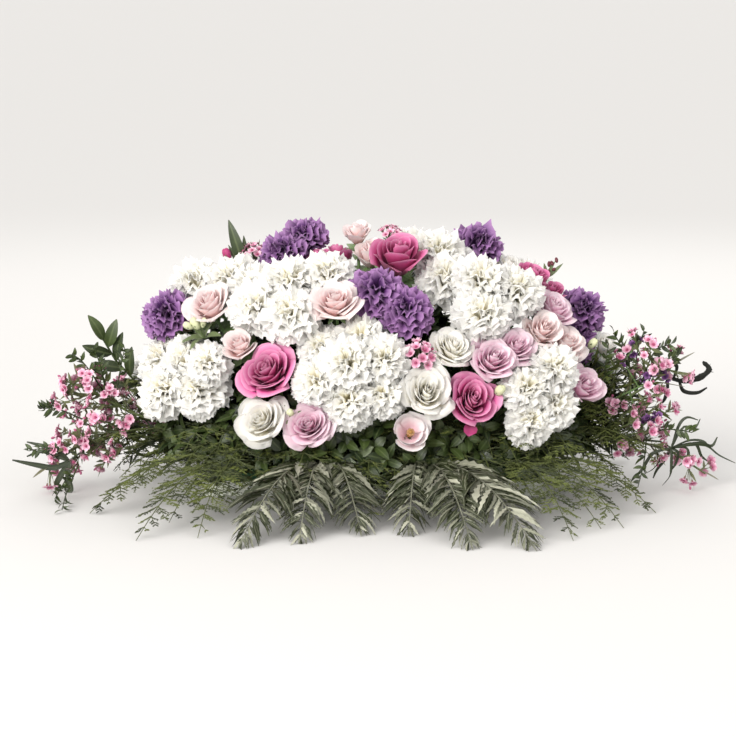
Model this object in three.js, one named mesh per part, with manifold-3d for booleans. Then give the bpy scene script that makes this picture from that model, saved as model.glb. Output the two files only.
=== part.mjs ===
// A half-couch casket spray: a domed mound of carnations, roses and wax flower on a bed of fern,
// with every stem pushed into a block of wet foam that sits in a flat-bottomed plastic saddle.
// Millimetres. X runs along the spray, -Y is the front, +Z is up, z = 0 is the surface it stands on.
import * as THREE from "three";
import { mergeVertices } from "three/addons/utils/BufferGeometryUtils.js";
import Module from "manifold-3d";

const wasm = await Module();
wasm.setup();

const V = (x, y, z) => new THREE.Vector3(x, y, z);
const UP = V(0, 0, 1);

// Driving sizes
const SADDLE = { length: 496, width: 142, floor: 4, rim: 22, wall: 3, lugTop: 36, lugWidth: 22 };
const FOAM = { length: 460, width: 110, height: 68, gap: 0.4 };
const FOAM_BASE = SADDLE.floor + FOAM.gap;

// The bloom centres lie on an outer dome, and the stem ends on a flat one inside the foam.
const CORE = V(0, 0, 40);
const DOME = { outer: V(362, 205, 319), inner: V(198, 40, 18), power: 2.25 };

// The spray is seen from the front at this height and distance; a bloom's x and h are read there,
// h being its height above the surface in the picture plane through the origin.
const LOOK = { elevation: THREE.MathUtils.degToRad(9), distance: 3600, x: -9, h: 177 };

const STEM = { neck: 2.4, end: 1.7, atFoam: 2.0, holeSlack: 0.4 };
const CLEARANCE = 0.35;

// Looks
const finish = (color, roughness) => new THREE.MeshStandardMaterial({ color, roughness, metalness: 0 });
const MATERIALS = {
  whitePetal: finish(0xf6f4ea, 0.75),
  purplePetal: finish(0x6b4a9c, 0.75),
  magentaPetal: finish(0xc2408c, 0.6),
  lavenderPetal: finish(0xcf86b8, 0.6),
  blushPetal: finish(0xf0c9cc, 0.6),
  creamPetal: finish(0xf5efdc, 0.6),
  waxPetal: finish(0xdb83ac, 0.65),
  fern: finish(0x3f5a34, 0.7),
  plumosus: finish(0x37632b, 0.75),
  leaf: finish(0x2f4f2a, 0.5),
  bud: finish(0xc9d093, 0.6),
  berry: finish(0x6d1f2c, 0.45),
  foam: finish(0x2f6a45, 0.9),
  saddle: finish(0xe9ebe6, 0.4),
};

// Each bloom is [x, h, radius]. A group that touches is one bunch.
const CARNATIONS = {
  carnations_white_left_front: [
    [-332, 207, 39], [-273, 196, 37], [-306, 147, 39], [-237, 139, 39], [-231, 184, 29],
  ],
  carnations_white_left_upper: [
    [-228, 318, 42], [-270, 284, 38], [-190, 270, 40], [-111, 302, 42],
    [-66, 310, 36], [-153, 248, 41], [-106, 250, 38],
  ],
  carnations_white_centre: [
    [7, 238, 36], [-108, 174, 36], [-51, 197, 38], [-78, 146, 34], [-28, 150, 38], [-2, 192, 36],
    [18, 144, 31],
  ],
  carnations_white_right_upper: [
    [84, 367, 43], [110, 280, 41], [168, 290, 40], [214, 272, 41], [160, 238, 40],
  ],
  carnations_white_right_front: [[257, 188, 36], [216, 146, 35], [262, 144, 34], [231, 112, 32]],
  carnations_purple_left: [[-287, 249, 35], [-351, 272, 27]],
  carnations_purple_top_left: [[-141, 354, 35], [-92, 357, 33]],
  carnations_purple_centre: [[-8, 297, 37], [57, 254, 34]],
  carnations_purple_top_right: [[162, 351, 35]],
  carnations_purple_right: [[306, 279, 34], [324, 230, 31]],
};
const ROSES = {
  roses_magenta_top: [[50, 328, 41]],
  roses_magenta_left: [[-167, 168, 39]],
  roses_magenta_front: [[138, 144, 35]],
  roses_magenta_right: [[239, 315, 26], [281, 282, 24]],
  roses_lavender_front: [[-90, 110, 33]],
  roses_lavender_right: [[177, 182, 34], [219, 203, 29]],
  roses_lavender_upper_right: [[257, 262, 33]],
  roses_lavender_end: [[309, 147, 32]],
  roses_blush_centre: [[-60, 249, 34]],
  roses_blush_top: [[-48, 359, 24], [-6, 359, 29]],
  roses_blush_left: [[-231, 276, 33]],
  roses_blush_bud: [[-207, 201, 26]],
  roses_blush_right: [[234, 234, 31], [287, 204, 30]],
  roses_cream_right: [[126, 212, 31]],
  roses_cream_front: [[65, 142, 37]],
  roses_cream_left: [[-168, 108, 35]],
  roses_cream_top: [[207, 324, 26]],
  roses_cream_end: [[368, 244, 19]],
  lisianthus_front: [[57, 88, 28]],
};
// Tight clusters of wax flower among the blooms
const WAX_CLUSTERS = {
  wax_flower_centre: [[72, 186, 21]],
  wax_flower_top_left: [[-174, 372, 17]],
  wax_flower_top: [[20, 400, 15]],
};
// Blooms behind the crest are [x, y, radius], on the dome above that point, or [x, height, radius]
// out from the axis on its far side at that height.
const CREST = {
  roses_magenta_crest: [[-88, 22, 28], [-42, 24, 30]],
  carnations_white_back_left: [[-240, 52, 43]],
  carnations_white_back_centre: [[104, 60, 43], [38, 40, 40]],
  carnations_white_back_right: [[250, 48, 43]],
  carnations_purple_back_left: [[-160, 54, 38]],
  carnations_purple_back_right: [[180, 56, 38]],
};
const BACK = {
  carnations_white_back_left: [[-206, 288, 43], [-290, 262, 42], [-274, 194, 42], [-342, 156, 40]],
  carnations_white_back_centre: [
    [52, 285, 44], [-30, 281, 44], [0, 208, 44], [80, 206, 44], [56, 130, 43], [-24, 128, 43],
  ],
  carnations_white_back_right: [[222, 288, 43], [298, 250, 42], [268, 190, 42], [342, 152, 40]],
  carnations_purple_back_left: [[-120, 276, 38]],
  carnations_purple_back_right: [[140, 272, 38]],
  roses_magenta_back: [[-176, 200, 38], [-204, 130, 37]],
  roses_blush_back: [[-88, 200, 38], [-112, 124, 37]],
  roses_lavender_back: [[166, 196, 38], [190, 122, 37]],
};

// Stems that pass between the blooms and end outside them, each as [x, h, room round it].
const SPRIGS = {
  leaf_top_left: [[-188, 338, 10]],
  berry_twig_right: [[262, 318, 9]],
  lisianthus_buds_left: [[-258, 232, 15]],
};
// Beyond the dome: distance along the stem, half width and half thickness there
const SPRIG_SHAPES = {
  leaf_top_left: [[0, 2, 2], [18, 7, 1.3], [44, 8.5, 1.3], [74, 0.8, 0.8]],
  berry_twig_right: [[8, 1.4, 1.4], [13, 4.6, 4.6], [19, 1.2, 1.2], [27, 4.2, 4.2], [31, 1.2, 1.2]],
  lisianthus_buds_left: [[0, 2, 2], [8, 6.4, 6.4], [22, 7.6, 7.6], [34, 4.2, 4.2]],
};

// Petal relief, one row a ring from the heart to the calyx: radius, height, ruffle outwards, ruffle
// upwards, turn. All but the turn are shares of the bloom's radius; a turn of 1 is one petal's width.
const CARNATION_RINGS = [
  [0.3, 0.66, 0.08, 0.07, 0],
  [0.44, 0.42, -0.05, -0.05, 0],
  [0.74, 0.46, 0.09, 0.08, 1],
  [0.82, 0.14, -0.05, 0.03, 1],
  [1.0, -0.04, 0.06, 0.09, 0],
];
const ROSE_RINGS = [
  [0.24, 0.7, 0.05, 0.03, 0],
  [0.52, 0.68, 0.06, -0.05, 0.5],
  [0.62, 0.4, 0.02, 0, 0.8],
  [0.94, 0.34, 0.08, -0.07, 1.1],
  [0.78, -0.3, 0.03, 0, 1.2],
];
const NECK = { carnation: 0.66, rose: 0.86, wax: 0.8, sprig: 0 };

// Solids

function surface(points, faces) {
  const geometry = new THREE.BufferGeometry();
  const flat = points.flatMap((p) => p.toArray());
  geometry.setAttribute("position", new THREE.Float32BufferAttribute(flat, 3));
  geometry.setIndex(faces);
  return geometry;
}

// A closed surface through rings of points, from a top pole down to a bottom one. A ring has as many
// points as the one above it, or half as many.
function closedGrid(top, rings, bottom) {
  const points = [top, ...rings.flat(), bottom];
  const firsts = [];
  let count = 1;
  for (const ring of rings) {
    firsts.push(count);
    count += ring.length;
  }
  const at = (i, j) => firsts[i] + ((j + rings[i].length) % rings[i].length);
  const faces = [];
  rings[0].forEach((_, j) => faces.push(0, at(0, j), at(0, j + 1)));
  for (let i = 0; i + 1 < rings.length; i++) {
    const halved = rings[i + 1].length < rings[i].length;
    rings[i + 1].forEach((_, j) => {
      if (halved) {
        faces.push(at(i, 2 * j), at(i + 1, j), at(i, 2 * j + 1));
        faces.push(at(i, 2 * j + 1), at(i + 1, j), at(i + 1, j + 1));
        faces.push(at(i, 2 * j + 1), at(i + 1, j + 1), at(i, 2 * j + 2));
      } else {
        faces.push(at(i, j), at(i + 1, j), at(i + 1, j + 1));
        faces.push(at(i, j), at(i + 1, j + 1), at(i, j + 1));
      }
    });
  }
  const last = rings.length - 1;
  rings[last].forEach((_, j) => faces.push(points.length - 1, at(last, j + 1), at(last, j)));
  return surface(points, faces);
}

function toSolid(geometry) {
  const bare = geometry.clone();
  bare.deleteAttribute("normal");
  bare.deleteAttribute("uv");
  const merged = mergeVertices(bare, 1e-3);
  const mesh = new wasm.Mesh({
    numProp: 3,
    vertProperties: new Float32Array(merged.attributes.position.array),
    triVerts: new Uint32Array(merged.index.array),
  });
  return new wasm.Manifold(mesh);
}

function fromSolid(solid) {
  const mesh = solid.getMesh();
  const { numVert, numProp, vertProperties } = mesh;
  const points = Array.from({ length: numVert }, (_, i) => V().fromArray(vertProperties, i * numProp));
  return surface(points, Array.from(mesh.triVerts));
}

const fuse = (geometries) => fromSolid(geometries.map(toSolid).reduce((a, b) => a.add(b)));

// Two directions square to an axis.
function across(axis) {
  const helper = Math.abs(axis.z) < 0.9 ? UP : V(0, 1, 0);
  const u = helper.clone().cross(axis).normalize();
  return [u, axis.clone().cross(u)];
}

function ringOf(centre, u, v, radius, sides, thickness = radius) {
  return Array.from({ length: sides }, (_, j) => {
    const angle = (j / sides) * 2 * Math.PI;
    const across = u.clone().multiplyScalar(radius * Math.cos(angle));
    return centre.clone().add(across).addScaledVector(v, thickness * Math.sin(angle));
  });
}

// A tapering rod through a list of points.
function rod(points, radii, sides) {
  const first = points[1].clone().sub(points[0]).normalize();
  let [u, v] = across(first.clone().negate());
  const rings = points.map((p, i) => {
    const ahead = points[Math.min(i + 1, points.length - 1)];
    const along = ahead.clone().sub(points[Math.max(i - 1, 0)]).normalize().negate();
    u = u.clone().addScaledVector(along, -u.dot(along)).normalize();
    v = along.clone().cross(u);
    return ringOf(p, u, v, radii[i], sides);
  });
  return closedGrid(points[0], rings, points[points.length - 1]);
}

// The dome

const domeLevel = (p, size) => {
  const d = p.clone().sub(CORE).divide(size);
  return Math.abs(d.x) ** DOME.power + Math.abs(d.y) ** DOME.power + Math.abs(d.z) ** DOME.power;
};

// The inner end of the stem through p: stems run straight between matching points of the two domes,
// so no two of them cross.
function stemEnd(p) {
  let low = -0.5;
  let high = 1;
  const size = V();
  for (let i = 0; i < 40; i++) {
    const t = (low + high) / 2;
    size.lerpVectors(DOME.outer, DOME.inner, t);
    if (domeLevel(p, size) > 1) high = t;
    else low = t;
  }
  return p.clone().sub(CORE).divide(size).multiply(DOME.inner).add(CORE);
}

// Where the line of sight through [x, h] meets the dome, or passes it closest.
function seenOnDome(x, h) {
  const ahead = V(0, Math.cos(LOOK.elevation), -Math.sin(LOOK.elevation));
  const rise = V(0, Math.sin(LOOK.elevation), Math.cos(LOOK.elevation));
  const eye = V(LOOK.x, 0, 0).addScaledVector(rise, LOOK.h).addScaledVector(ahead, -LOOK.distance);
  const aim = V(x, 0, 0).addScaledVector(rise, h);
  const along = aim.clone().sub(eye).normalize();
  const step = 2;
  let best = null;
  let lowest = Infinity;
  for (let s = -300; s <= 300; s += step) {
    const p = aim.clone().addScaledVector(along, s);
    const level = domeLevel(p, DOME.outer);
    if (level <= 1) return p;
    if (level < lowest) {
      lowest = level;
      best = p;
    }
  }
  return best;
}

// How far the dome stands out along one axis where the other two shares are used up.
function domeReach(a, b) {
  const rest = 1 - Math.abs(a) ** DOME.power - Math.abs(b) ** DOME.power;
  return Math.max(rest, 0.02) ** (1 / DOME.power);
}

function aboveOnDome(x, y) {
  return V(x, y, CORE.z + DOME.outer.z * domeReach(x / DOME.outer.x, y / DOME.outer.y));
}

function behindOnDome(x, z) {
  return V(x, DOME.outer.y * domeReach(x / DOME.outer.x, (z - CORE.z) / DOME.outer.z), z);
}

// Blooms

const blooms = [];
// Carnations under this radius have two sides fewer.
const SMALL_HEAD = 38;
function gather(groups, kind, locate, mostSides) {
  for (const [group, list] of Object.entries(groups)) {
    for (const [first, second, radius] of list) {
      const kindHere = kind ?? group.split("_")[0].replace(/s$/, "");
      const inFront = locate === seenOnDome;
      const sides = kind === "carnation" && radius < SMALL_HEAD ? mostSides - 2 : mostSides;
      blooms.push({ group, kind: kindHere, centre: locate(first, second), radius, sides, inFront });
    }
  }
}
gather(CARNATIONS, "carnation", seenOnDome, 10);
gather(ROSES, "rose", seenOnDome, 8);
gather(WAX_CLUSTERS, "wax", seenOnDome, 10);
gather(SPRIGS, "sprig", seenOnDome, 6);
gather(CREST, null, aboveOnDome, 8);
gather(BACK, null, behindOnDome, 8);

// In a bunch each head touches the nearest of those before it.
const bunchPairs = [];
for (const a of blooms) {
  const before = blooms.slice(0, blooms.indexOf(a)).filter((b) => b.group === a.group);
  before.sort((b, c) => b.centre.distanceTo(a.centre) - c.centre.distanceTo(a.centre));
  if (before.length) bunchPairs.push([a, before[0]]);
}

// Neighbours are eased apart until they only press against each other, and bunches together.
const EASE = { rounds: 60, apart: 0.93, bunched: 0.7, touching: 0.74, depth: 0.06 };
for (let round = 0; round < EASE.rounds; round++) {
  for (const [a, b] of bunchPairs) {
    const gap = b.centre.clone().sub(a.centre);
    const excess = gap.length() - EASE.touching * (a.radius + b.radius);
    if (excess <= 0) continue;
    gap.normalize();
    a.centre.addScaledVector(gap, excess / 2);
    b.centre.addScaledVector(gap, -excess / 2);
  }
  for (const a of blooms) {
    for (const b of blooms) {
      if (a === b) continue;
      const gap = b.centre.clone().sub(a.centre);
      const share = a.group === b.group ? EASE.bunched : EASE.apart;
      const lack = share * (a.radius + b.radius) - gap.length();
      if (lack <= 0) continue;
      gap.normalize();
      a.centre.addScaledVector(gap, -lack / 4);
      b.centre.addScaledVector(gap, lack / 4);
    }
  }
  for (const a of blooms) {
    const level = domeLevel(a.centre, DOME.outer) ** (1 / DOME.power);
    const kept = THREE.MathUtils.clamp(level, 1 - EASE.depth, 1 + EASE.depth);
    a.centre.sub(CORE).multiplyScalar(kept / level).add(CORE);
  }
}

// Each bloom faces out along its stem, and those in front turn a little to the front.
const FRONTWARD = V(0, -0.9, 0.25);
for (const a of blooms) {
  a.end = stemEnd(a.centre);
  a.up = a.centre.clone().sub(a.end).normalize();
  a.facing = a.up.clone();
  if (a.inFront) a.facing.addScaledVector(FRONTWARD, 0.55).normalize();
  a.neck = a.centre.clone().addScaledVector(a.up, -NECK[a.kind] * a.radius);
}

// The flat walls between a bloom and its neighbours, each as a direction and a distance.
const BUNCH_OVERLAP = 0.14;
function wallsOf(a) {
  const walls = [];
  for (const b of blooms) {
    if (a === b) continue;
    const gap = b.centre.clone().sub(a.centre);
    const far = gap.length();
    if (far > 1.2 * (a.radius + b.radius)) continue;
    const middle = (far * far + a.radius ** 2 - b.radius ** 2) / (2 * far);
    const joined = bunchPairs.some(([c, d]) => (c === a && d === b) || (c === b && d === a));
    const room = joined ? BUNCH_OVERLAP * (a.radius + b.radius) : -CLEARANCE / 2;
    walls.push({ toward: gap.normalize(), distance: middle + room });
  }
  return walls;
}

// Presses a point of a bloom in towards its centre, so that it stays inside the walls.
const REACH = 1.05;
function press(point, a, walls) {
  const out = point.clone().sub(a.centre);
  const length = out.length();
  if (length === 0) return point;
  out.divideScalar(length);
  let share = 1;
  for (const w of walls) {
    const slope = out.dot(w.toward);
    const full = Math.max(REACH * a.radius, a.kind === "sprig" ? length : 0);
    if (slope > 0) share = Math.min(share, w.distance / (slope * full));
  }
  return a.centre.clone().addScaledVector(out, length * share);
}

const WAX_RINGS = [
  [0.38, 0.72, 0.14, 0.1, 0],
  [0.72, 0.3, -0.12, -0.1, 0],
  [0.98, -0.1, 0.14, 0.12, 0],
];
const RINGS = { carnation: CARNATION_RINGS, rose: ROSE_RINGS, wax: WAX_RINGS };
// Ring left out of the carnations on the far side
const PLAIN_RING = 1;
const HEART = { carnation: 0.52, rose: 0.5, wax: 0.6 };

function bloomGeometry(a) {
  const walls = wallsOf(a);
  const { sides } = a;
  const [u, v] = across(a.facing);
  const profile = RINGS[a.kind].filter((_, i) => a.inFront || a.kind === "rose" || i !== PLAIN_RING);
  const rings = profile.map(([radius, height, outRuffle, upRuffle, turn]) =>
    Array.from({ length: sides }, (_, j) => {
      const wave = j % 2 === 0 ? 1 : -1;
      const angle = ((j + turn) / sides) * 2 * Math.PI;
      const r = a.radius * (radius + outRuffle * wave);
      const point = a.centre.clone()
        .addScaledVector(u, r * Math.cos(angle))
        .addScaledVector(v, r * Math.sin(angle))
        .addScaledVector(a.facing, a.radius * (height + upRuffle * wave));
      return press(point, a, walls);
    }),
  );
  const stemU = u.clone().addScaledVector(a.up, -u.dot(a.up)).normalize();
  const stemV = a.up.clone().cross(stemU);
  rings.push(ringOf(a.neck, stemU, stemV, STEM.neck, sides / 2));
  rings.push(ringOf(a.end, stemU, stemV, STEM.end, sides / 2));
  const heart = a.centre.clone().addScaledVector(a.facing, HEART[a.kind] * a.radius);
  return closedGrid(press(heart, a, walls), rings, a.end);
}

// A stem in one piece with the blade, berries or buds that end it.
function sprigGeometry(a) {
  const walls = wallsOf(a);
  const [u, v] = across(a.up);
  const beyond = (out) => a.centre.clone().addScaledVector(a.up, out);
  const shape = [...SPRIG_SHAPES[a.group]].reverse();
  const rings = shape.map(([out, wide, thick]) =>
    ringOf(beyond(out), u, v, wide, a.sides, thick).map((p) => press(p, a, walls)),
  );
  rings.push(ringOf(a.end, u, v, STEM.end, a.sides));
  return closedGrid(press(beyond(shape[0][0] + 1), a, walls), rings, a.end);
}

// Greenery

// A thin arched frond as one blade, its outline cut to the rib into leaflets. It is a sheet of even
// upright thickness over its own plan, from root to tip, and its end lies along the surface.
const FROND = {
  thickness: 1.2,
  rib: 2.4,
  floor: 1.4,
  crest: 96,
  lean: 1.6,
  droop: 0.25,
  start: 0.16,
  finish: 0.94,
};
function frondGeometry(root, tip, { pairs, width, spread }) {
  const run = V(tip.x - root.x, tip.y - root.y, 0);
  const length = run.length();
  run.normalize();
  const side = V(-run.y, run.x, 0);
  const rise = new THREE.CubicBezierCurve(
    new THREE.Vector2(0, root.z),
    new THREE.Vector2(0.3, FROND.crest),
    new THREE.Vector2(0.6, 0.75 * FROND.crest),
    new THREE.Vector2(1, tip.z),
  );
  const at = (s, w) => {
    const height = rise.getPoint(Math.min(s, 1)).y - FROND.droop * Math.abs(w);
    return V(root.x, root.y, 0)
      .addScaledVector(run, s * length)
      .addScaledVector(side, w)
      .setZ(Math.max(height, FROND.floor));
  };
  const { start, finish: stop } = FROND;
  const step = (stop - start) / pairs;
  const rib = [0, start].map((s) => [at(s, -FROND.rib), at(s, FROND.rib)]);
  const leaflets = [];
  for (let k = 0; k < pairs; k++) {
    const s = start + k * step;
    const share = (k + 0.5) / pairs;
    const full = width * Math.sin(Math.PI * (0.16 + 0.8 * share)) ** 0.8;
    const reach = Math.min(full, spread * (s + step) * length);
    const thin = FROND.rib * (1 - 0.7 * share);
    const next = [at(s + step, -thin), at(s + step, thin)];
    const tips = [at(s + FROND.lean * step, -reach), at(s + FROND.lean * step, reach)];
    leaflets.push({ base: rib[rib.length - 1], next, tips });
    rib.push(next);
  }
  const end = at(1, 0);
  // One outline round the blade, and the triangles that fill it.
  const outline = [rib[0][0], rib[1][0]];
  const fills = [];
  for (const { next, tips } of leaflets) outline.push(tips[0], next[0]);
  outline.push(end);
  for (const { next, tips } of [...leaflets].reverse()) outline.push(next[1], tips[1]);
  outline.push(rib[1][1], rib[0][1]);
  for (let i = 0; i + 1 < rib.length; i++) {
    fills.push([rib[i][0], rib[i + 1][0], rib[i + 1][1]], [rib[i][0], rib[i + 1][1], rib[i][1]]);
  }
  for (const { base, next, tips } of leaflets) {
    fills.push([base[0], tips[0], next[0]], [base[1], next[1], tips[1]]);
  }
  const last = rib[rib.length - 1];
  fills.push([last[0], end, last[1]]);
  return slab(outline, fills, FROND.thickness);
}

// A sheet of upright thickness: the fills on top, the same below, and a wall round the outline.
function slab(outline, fills, thickness) {
  const points = [];
  const index = new Map();
  const id = (p) => {
    if (!index.has(p)) {
      index.set(p, index.size);
      points.push(p);
    }
    return index.get(p);
  };
  outline.forEach(id);
  const count = outline.length;
  const top = points.map((p) => V(p.x, p.y, p.z + thickness / 2));
  const bottom = points.map((p) => V(p.x, p.y, p.z - thickness / 2));
  const faces = [];
  for (const [a, b, c] of fills) {
    const [i, j, k] = [id(a), id(b), id(c)];
    faces.push(i, j, k, count + i, count + k, count + j);
  }
  for (let i = 0; i < count; i++) {
    const j = (i + 1) % count;
    faces.push(j, i, count + i, j, count + i, count + j);
  }
  return surface([...top, ...bottom], faces);
}

// A fan of fronds that branch from one stem. The stem enters the foam's long side.
const FAN = { stemZ: 30, forkZ: 38, inFoam: 30, forkOut: 32, thickness: 2.6 };
const FANS = {
  fern_front_left: { kind: "plumosus", at: -188, tips: [[-404, -196], [-322, -366], [-240, -350]] },
  fern_front_mid_left: { kind: "fern", at: -72, tips: [[-182, -412], [-102, -386], [-18, -340]] },
  fern_front_mid_right: { kind: "fern", at: 66, tips: [[46, -340], [130, -420], [214, -426]] },
  fern_front_right: { kind: "plumosus", at: 186, tips: [[268, -366], [344, -290], [400, -192]] },
  fern_back_right: { kind: "plumosus", at: 188, tips: [[404, 196], [338, 286], [246, 340]] },
  fern_back_mid_right: { kind: "fern", at: 66, tips: [[168, 352], [92, 372], [14, 346]] },
  fern_back_mid_left: { kind: "fern", at: -66, tips: [[-62, 350], [-132, 376], [-206, 352]] },
  fern_back_left: { kind: "plumosus", at: -186, tips: [[-274, 336], [-346, 276], [-398, 196]] },
};
const FROND_SHAPES = {
  fern: { pairs: 5, width: 36, spread: 0.165 },
  plumosus: { pairs: 4, width: 30, spread: 0.2 },
};
const holes = [];
function fanGeometry({ kind, at, tips }) {
  const face = (Math.sign(tips[0][1]) * FOAM.width) / 2;
  const outward = Math.sign(face);
  const inner = V(at, face - outward * FAN.inFoam, FAN.stemZ);
  const fork = V(at, face + outward * FAN.forkOut, FAN.forkZ);
  holes.push({ end: inner, out: fork, radius: FAN.thickness });
  const stub = fork.clone().add(V(0, outward * FAN.thickness, 0));
  const solids = [rod([inner, stub], [FAN.thickness, FAN.thickness], 4)];
  for (const [x, y] of tips) solids.push(frondGeometry(fork, V(x, y, FROND.floor), FROND_SHAPES[kind]));
  return fuse(solids);
}

// A flat leaf: a pointed outline with a ridge, thin at the edge.
const LEAF_EDGE = [[0, 0], [0.22, 0.72], [0.55, 1], [1, 0], [0.55, -1], [0.22, -0.72]];
const LEAF = { ridge: 0.45, thickness: 1.6 };
function leafGeometry(base, tip, normal, width) {
  const along = tip.clone().sub(base);
  const side = along.clone().cross(normal).normalize().multiplyScalar(width / 2);
  const spot = (s, w) => base.clone().addScaledVector(along, s).addScaledVector(side, w);
  const ridge = normal.clone().normalize().multiplyScalar(LEAF.thickness / 2);
  const middle = spot(LEAF.ridge, 0);
  return closedGrid(middle.clone().add(ridge), [LEAF_EDGE.map(([s, w]) => spot(s, w))], middle.sub(ridge));
}

// A small funnel-shaped flower of five petals, its root at one end.
function floretGeometry(root, mouth, radius) {
  const facing = mouth.clone().sub(root).normalize();
  const [u, v] = across(facing);
  const throat = mouth.clone().addScaledVector(facing, -FLORET.throat * radius);
  return closedGrid(throat, [ringOf(mouth, u, v, radius, FLORET.petals)], root);
}

// A seeded draw, the same on every run.
function drawer(seed) {
  let state = seed;
  return () => {
    state = (state * 1103515245 + 12345) % 2147483648;
    return state / 2147483648;
  };
}

// A spray of wax flower: florets and narrow leaves up a bending stem.
const FLORET = { radius: 9, length: 24, petals: 5, throat: 0.4, sunk: 0.6 };
const NARROW_LEAF = { length: 46, width: 7, sunk: 0.8 };
const SPRAY_STEM = { steps: 5, root: 2.6, tip: 1.6 };
const SPIRAL = 2.4;
function waxSpray(points, { florets, leaves, seed, from = 0.45 }) {
  const draw = drawer(seed);
  const line = new THREE.CatmullRomCurve3(points).getPoints(SPRAY_STEM.steps);
  holes.push({ end: line[0], out: line[1], radius: SPRAY_STEM.root });
  const taper = (SPRAY_STEM.root - SPRAY_STEM.tip) / SPRAY_STEM.steps;
  const solids = [rod(line, line.map((_, i) => SPRAY_STEM.root - taper * i), 3)];
  // The point of the stem at a share of its length, and the way the stem runs there.
  const place = (s) => {
    const k = Math.min(Math.floor(s * SPRAY_STEM.steps), SPRAY_STEM.steps - 1);
    const root = line[k].clone().lerp(line[k + 1], s * SPRAY_STEM.steps - k);
    return { root, along: line[k + 1].clone().sub(line[k]).normalize() };
  };
  // A direction out from the stem, each a spiral turn on from the last.
  const outward = (along, i, lean) => {
    const [u, v] = across(along);
    const angle = i * SPIRAL + draw();
    u.multiplyScalar(Math.cos(angle)).addScaledVector(v, Math.sin(angle));
    return u.addScaledVector(along, lean).normalize();
  };
  for (let i = 0; i < florets; i++) {
    const { root, along } = place(from + (1 - from) * ((i + 0.5) / florets));
    const out = outward(along, i, 0.5);
    const mouth = root.clone().addScaledVector(out, FLORET.length * (0.8 + 0.7 * draw()));
    const radius = FLORET.radius * (0.85 + 0.3 * draw());
    mouth.z = Math.max(mouth.z, radius + 2);
    solids.push(floretGeometry(root.addScaledVector(out, -FLORET.sunk), mouth, radius));
  }
  for (let i = 0; i < leaves; i++) {
    const { root, along } = place(Math.min(from + (1 - from) * ((i + 0.8) / leaves), 0.97));
    const out = outward(along, i + 0.5, 1.1);
    const tip = root.clone().addScaledVector(out, NARROW_LEAF.length * (0.7 + 0.4 * draw()));
    tip.z = Math.max(tip.z, 3);
    const faceUp = UP.clone().addScaledVector(out, -out.z).normalize();
    solids.push(leafGeometry(root.addScaledVector(out, -NARROW_LEAF.sunk), tip, faceUp, NARROW_LEAF.width));
  }
  return fuse(solids);
}

const parts = new THREE.Group();
function addPart(name, geometry, material) {
  geometry.computeVertexNormals();
  const mesh = new THREE.Mesh(geometry, material.clone());
  mesh.name = name;
  parts.add(mesh);
}

// Blooms, each bunch fused where its heads touch
const LOOKS = {
  white: "whitePetal",
  purple: "purplePetal",
  magenta: "magentaPetal",
  lavender: "lavenderPetal",
  blush: "blushPetal",
  cream: "creamPetal",
  front: "blushPetal",
  flower: "waxPetal",
  top: "leaf",
  twig: "berry",
  buds: "bud",
};
const groups = [...new Set(blooms.map((a) => a.group))];
for (const group of groups) {
  const heads = blooms.filter((a) => a.group === group);
  heads.forEach((a) => holes.push({ end: a.end, out: a.neck, radius: STEM.atFoam }));
  const geometries = heads.map((a) => (a.kind === "sprig" ? sprigGeometry(a) : bloomGeometry(a)));
  const look = MATERIALS[LOOKS[group.split("_")[1]]];
  addPart(group, geometries.length === 1 ? geometries[0] : fuse(geometries), look);
}

// Fern bed
for (const [name, fan] of Object.entries(FANS)) addPart(name, fanGeometry(fan), MATERIALS[fan.kind]);

// Wax flower at both ends and above the crest
const END = FOAM.length / 2;
const SPRAYS = {
  wax_flower_left_upper: {
    points: [V(-END + 30, -14, 66), V(-END - 40, -20, 84), V(-382, -40, 130), V(-436, -52, 172)],
    florets: 11, leaves: 3, seed: 11,
  },
  wax_flower_left_lower: {
    points: [V(-END + 30, 12, 50), V(-END - 40, 4, 60), V(-400, -20, 84), V(-488, -36, 34)],
    florets: 11, leaves: 3, seed: 23,
  },
  wax_flower_right_upper: {
    points: [V(END - 30, -14, 66), V(END + 40, -20, 88), V(392, -34, 150), V(446, -44, 196)],
    florets: 9, leaves: 3, seed: 37,
  },
  wax_flower_right_lower: {
    points: [V(END - 30, 12, 50), V(END + 40, 4, 60), V(404, -22, 74), V(492, -34, 26)],
    florets: 9, leaves: 4, seed: 41,
  },
};
const LEAFY_STEM = [V(-END + 26, 30, 52), V(-END - 30, 34, 84), V(-368, 12, 166), V(-404, -2, 226)];
const CURLY = {
  radius: 2.4,
  taper: 0.45,
  steps: 18,
  points: [
    V(END - 30, 32, 50), V(END + 40, 40, 74), V(370, 30, 130), V(424, 22, 168),
    V(456, 14, 158), V(484, 10, 162), V(500, 8, 176), V(490, 4, 188),
  ],
};
for (const [name, spray] of Object.entries(SPRAYS)) {
  addPart(name, waxSpray(spray.points, spray), MATERIALS.waxPetal);
}

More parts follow.
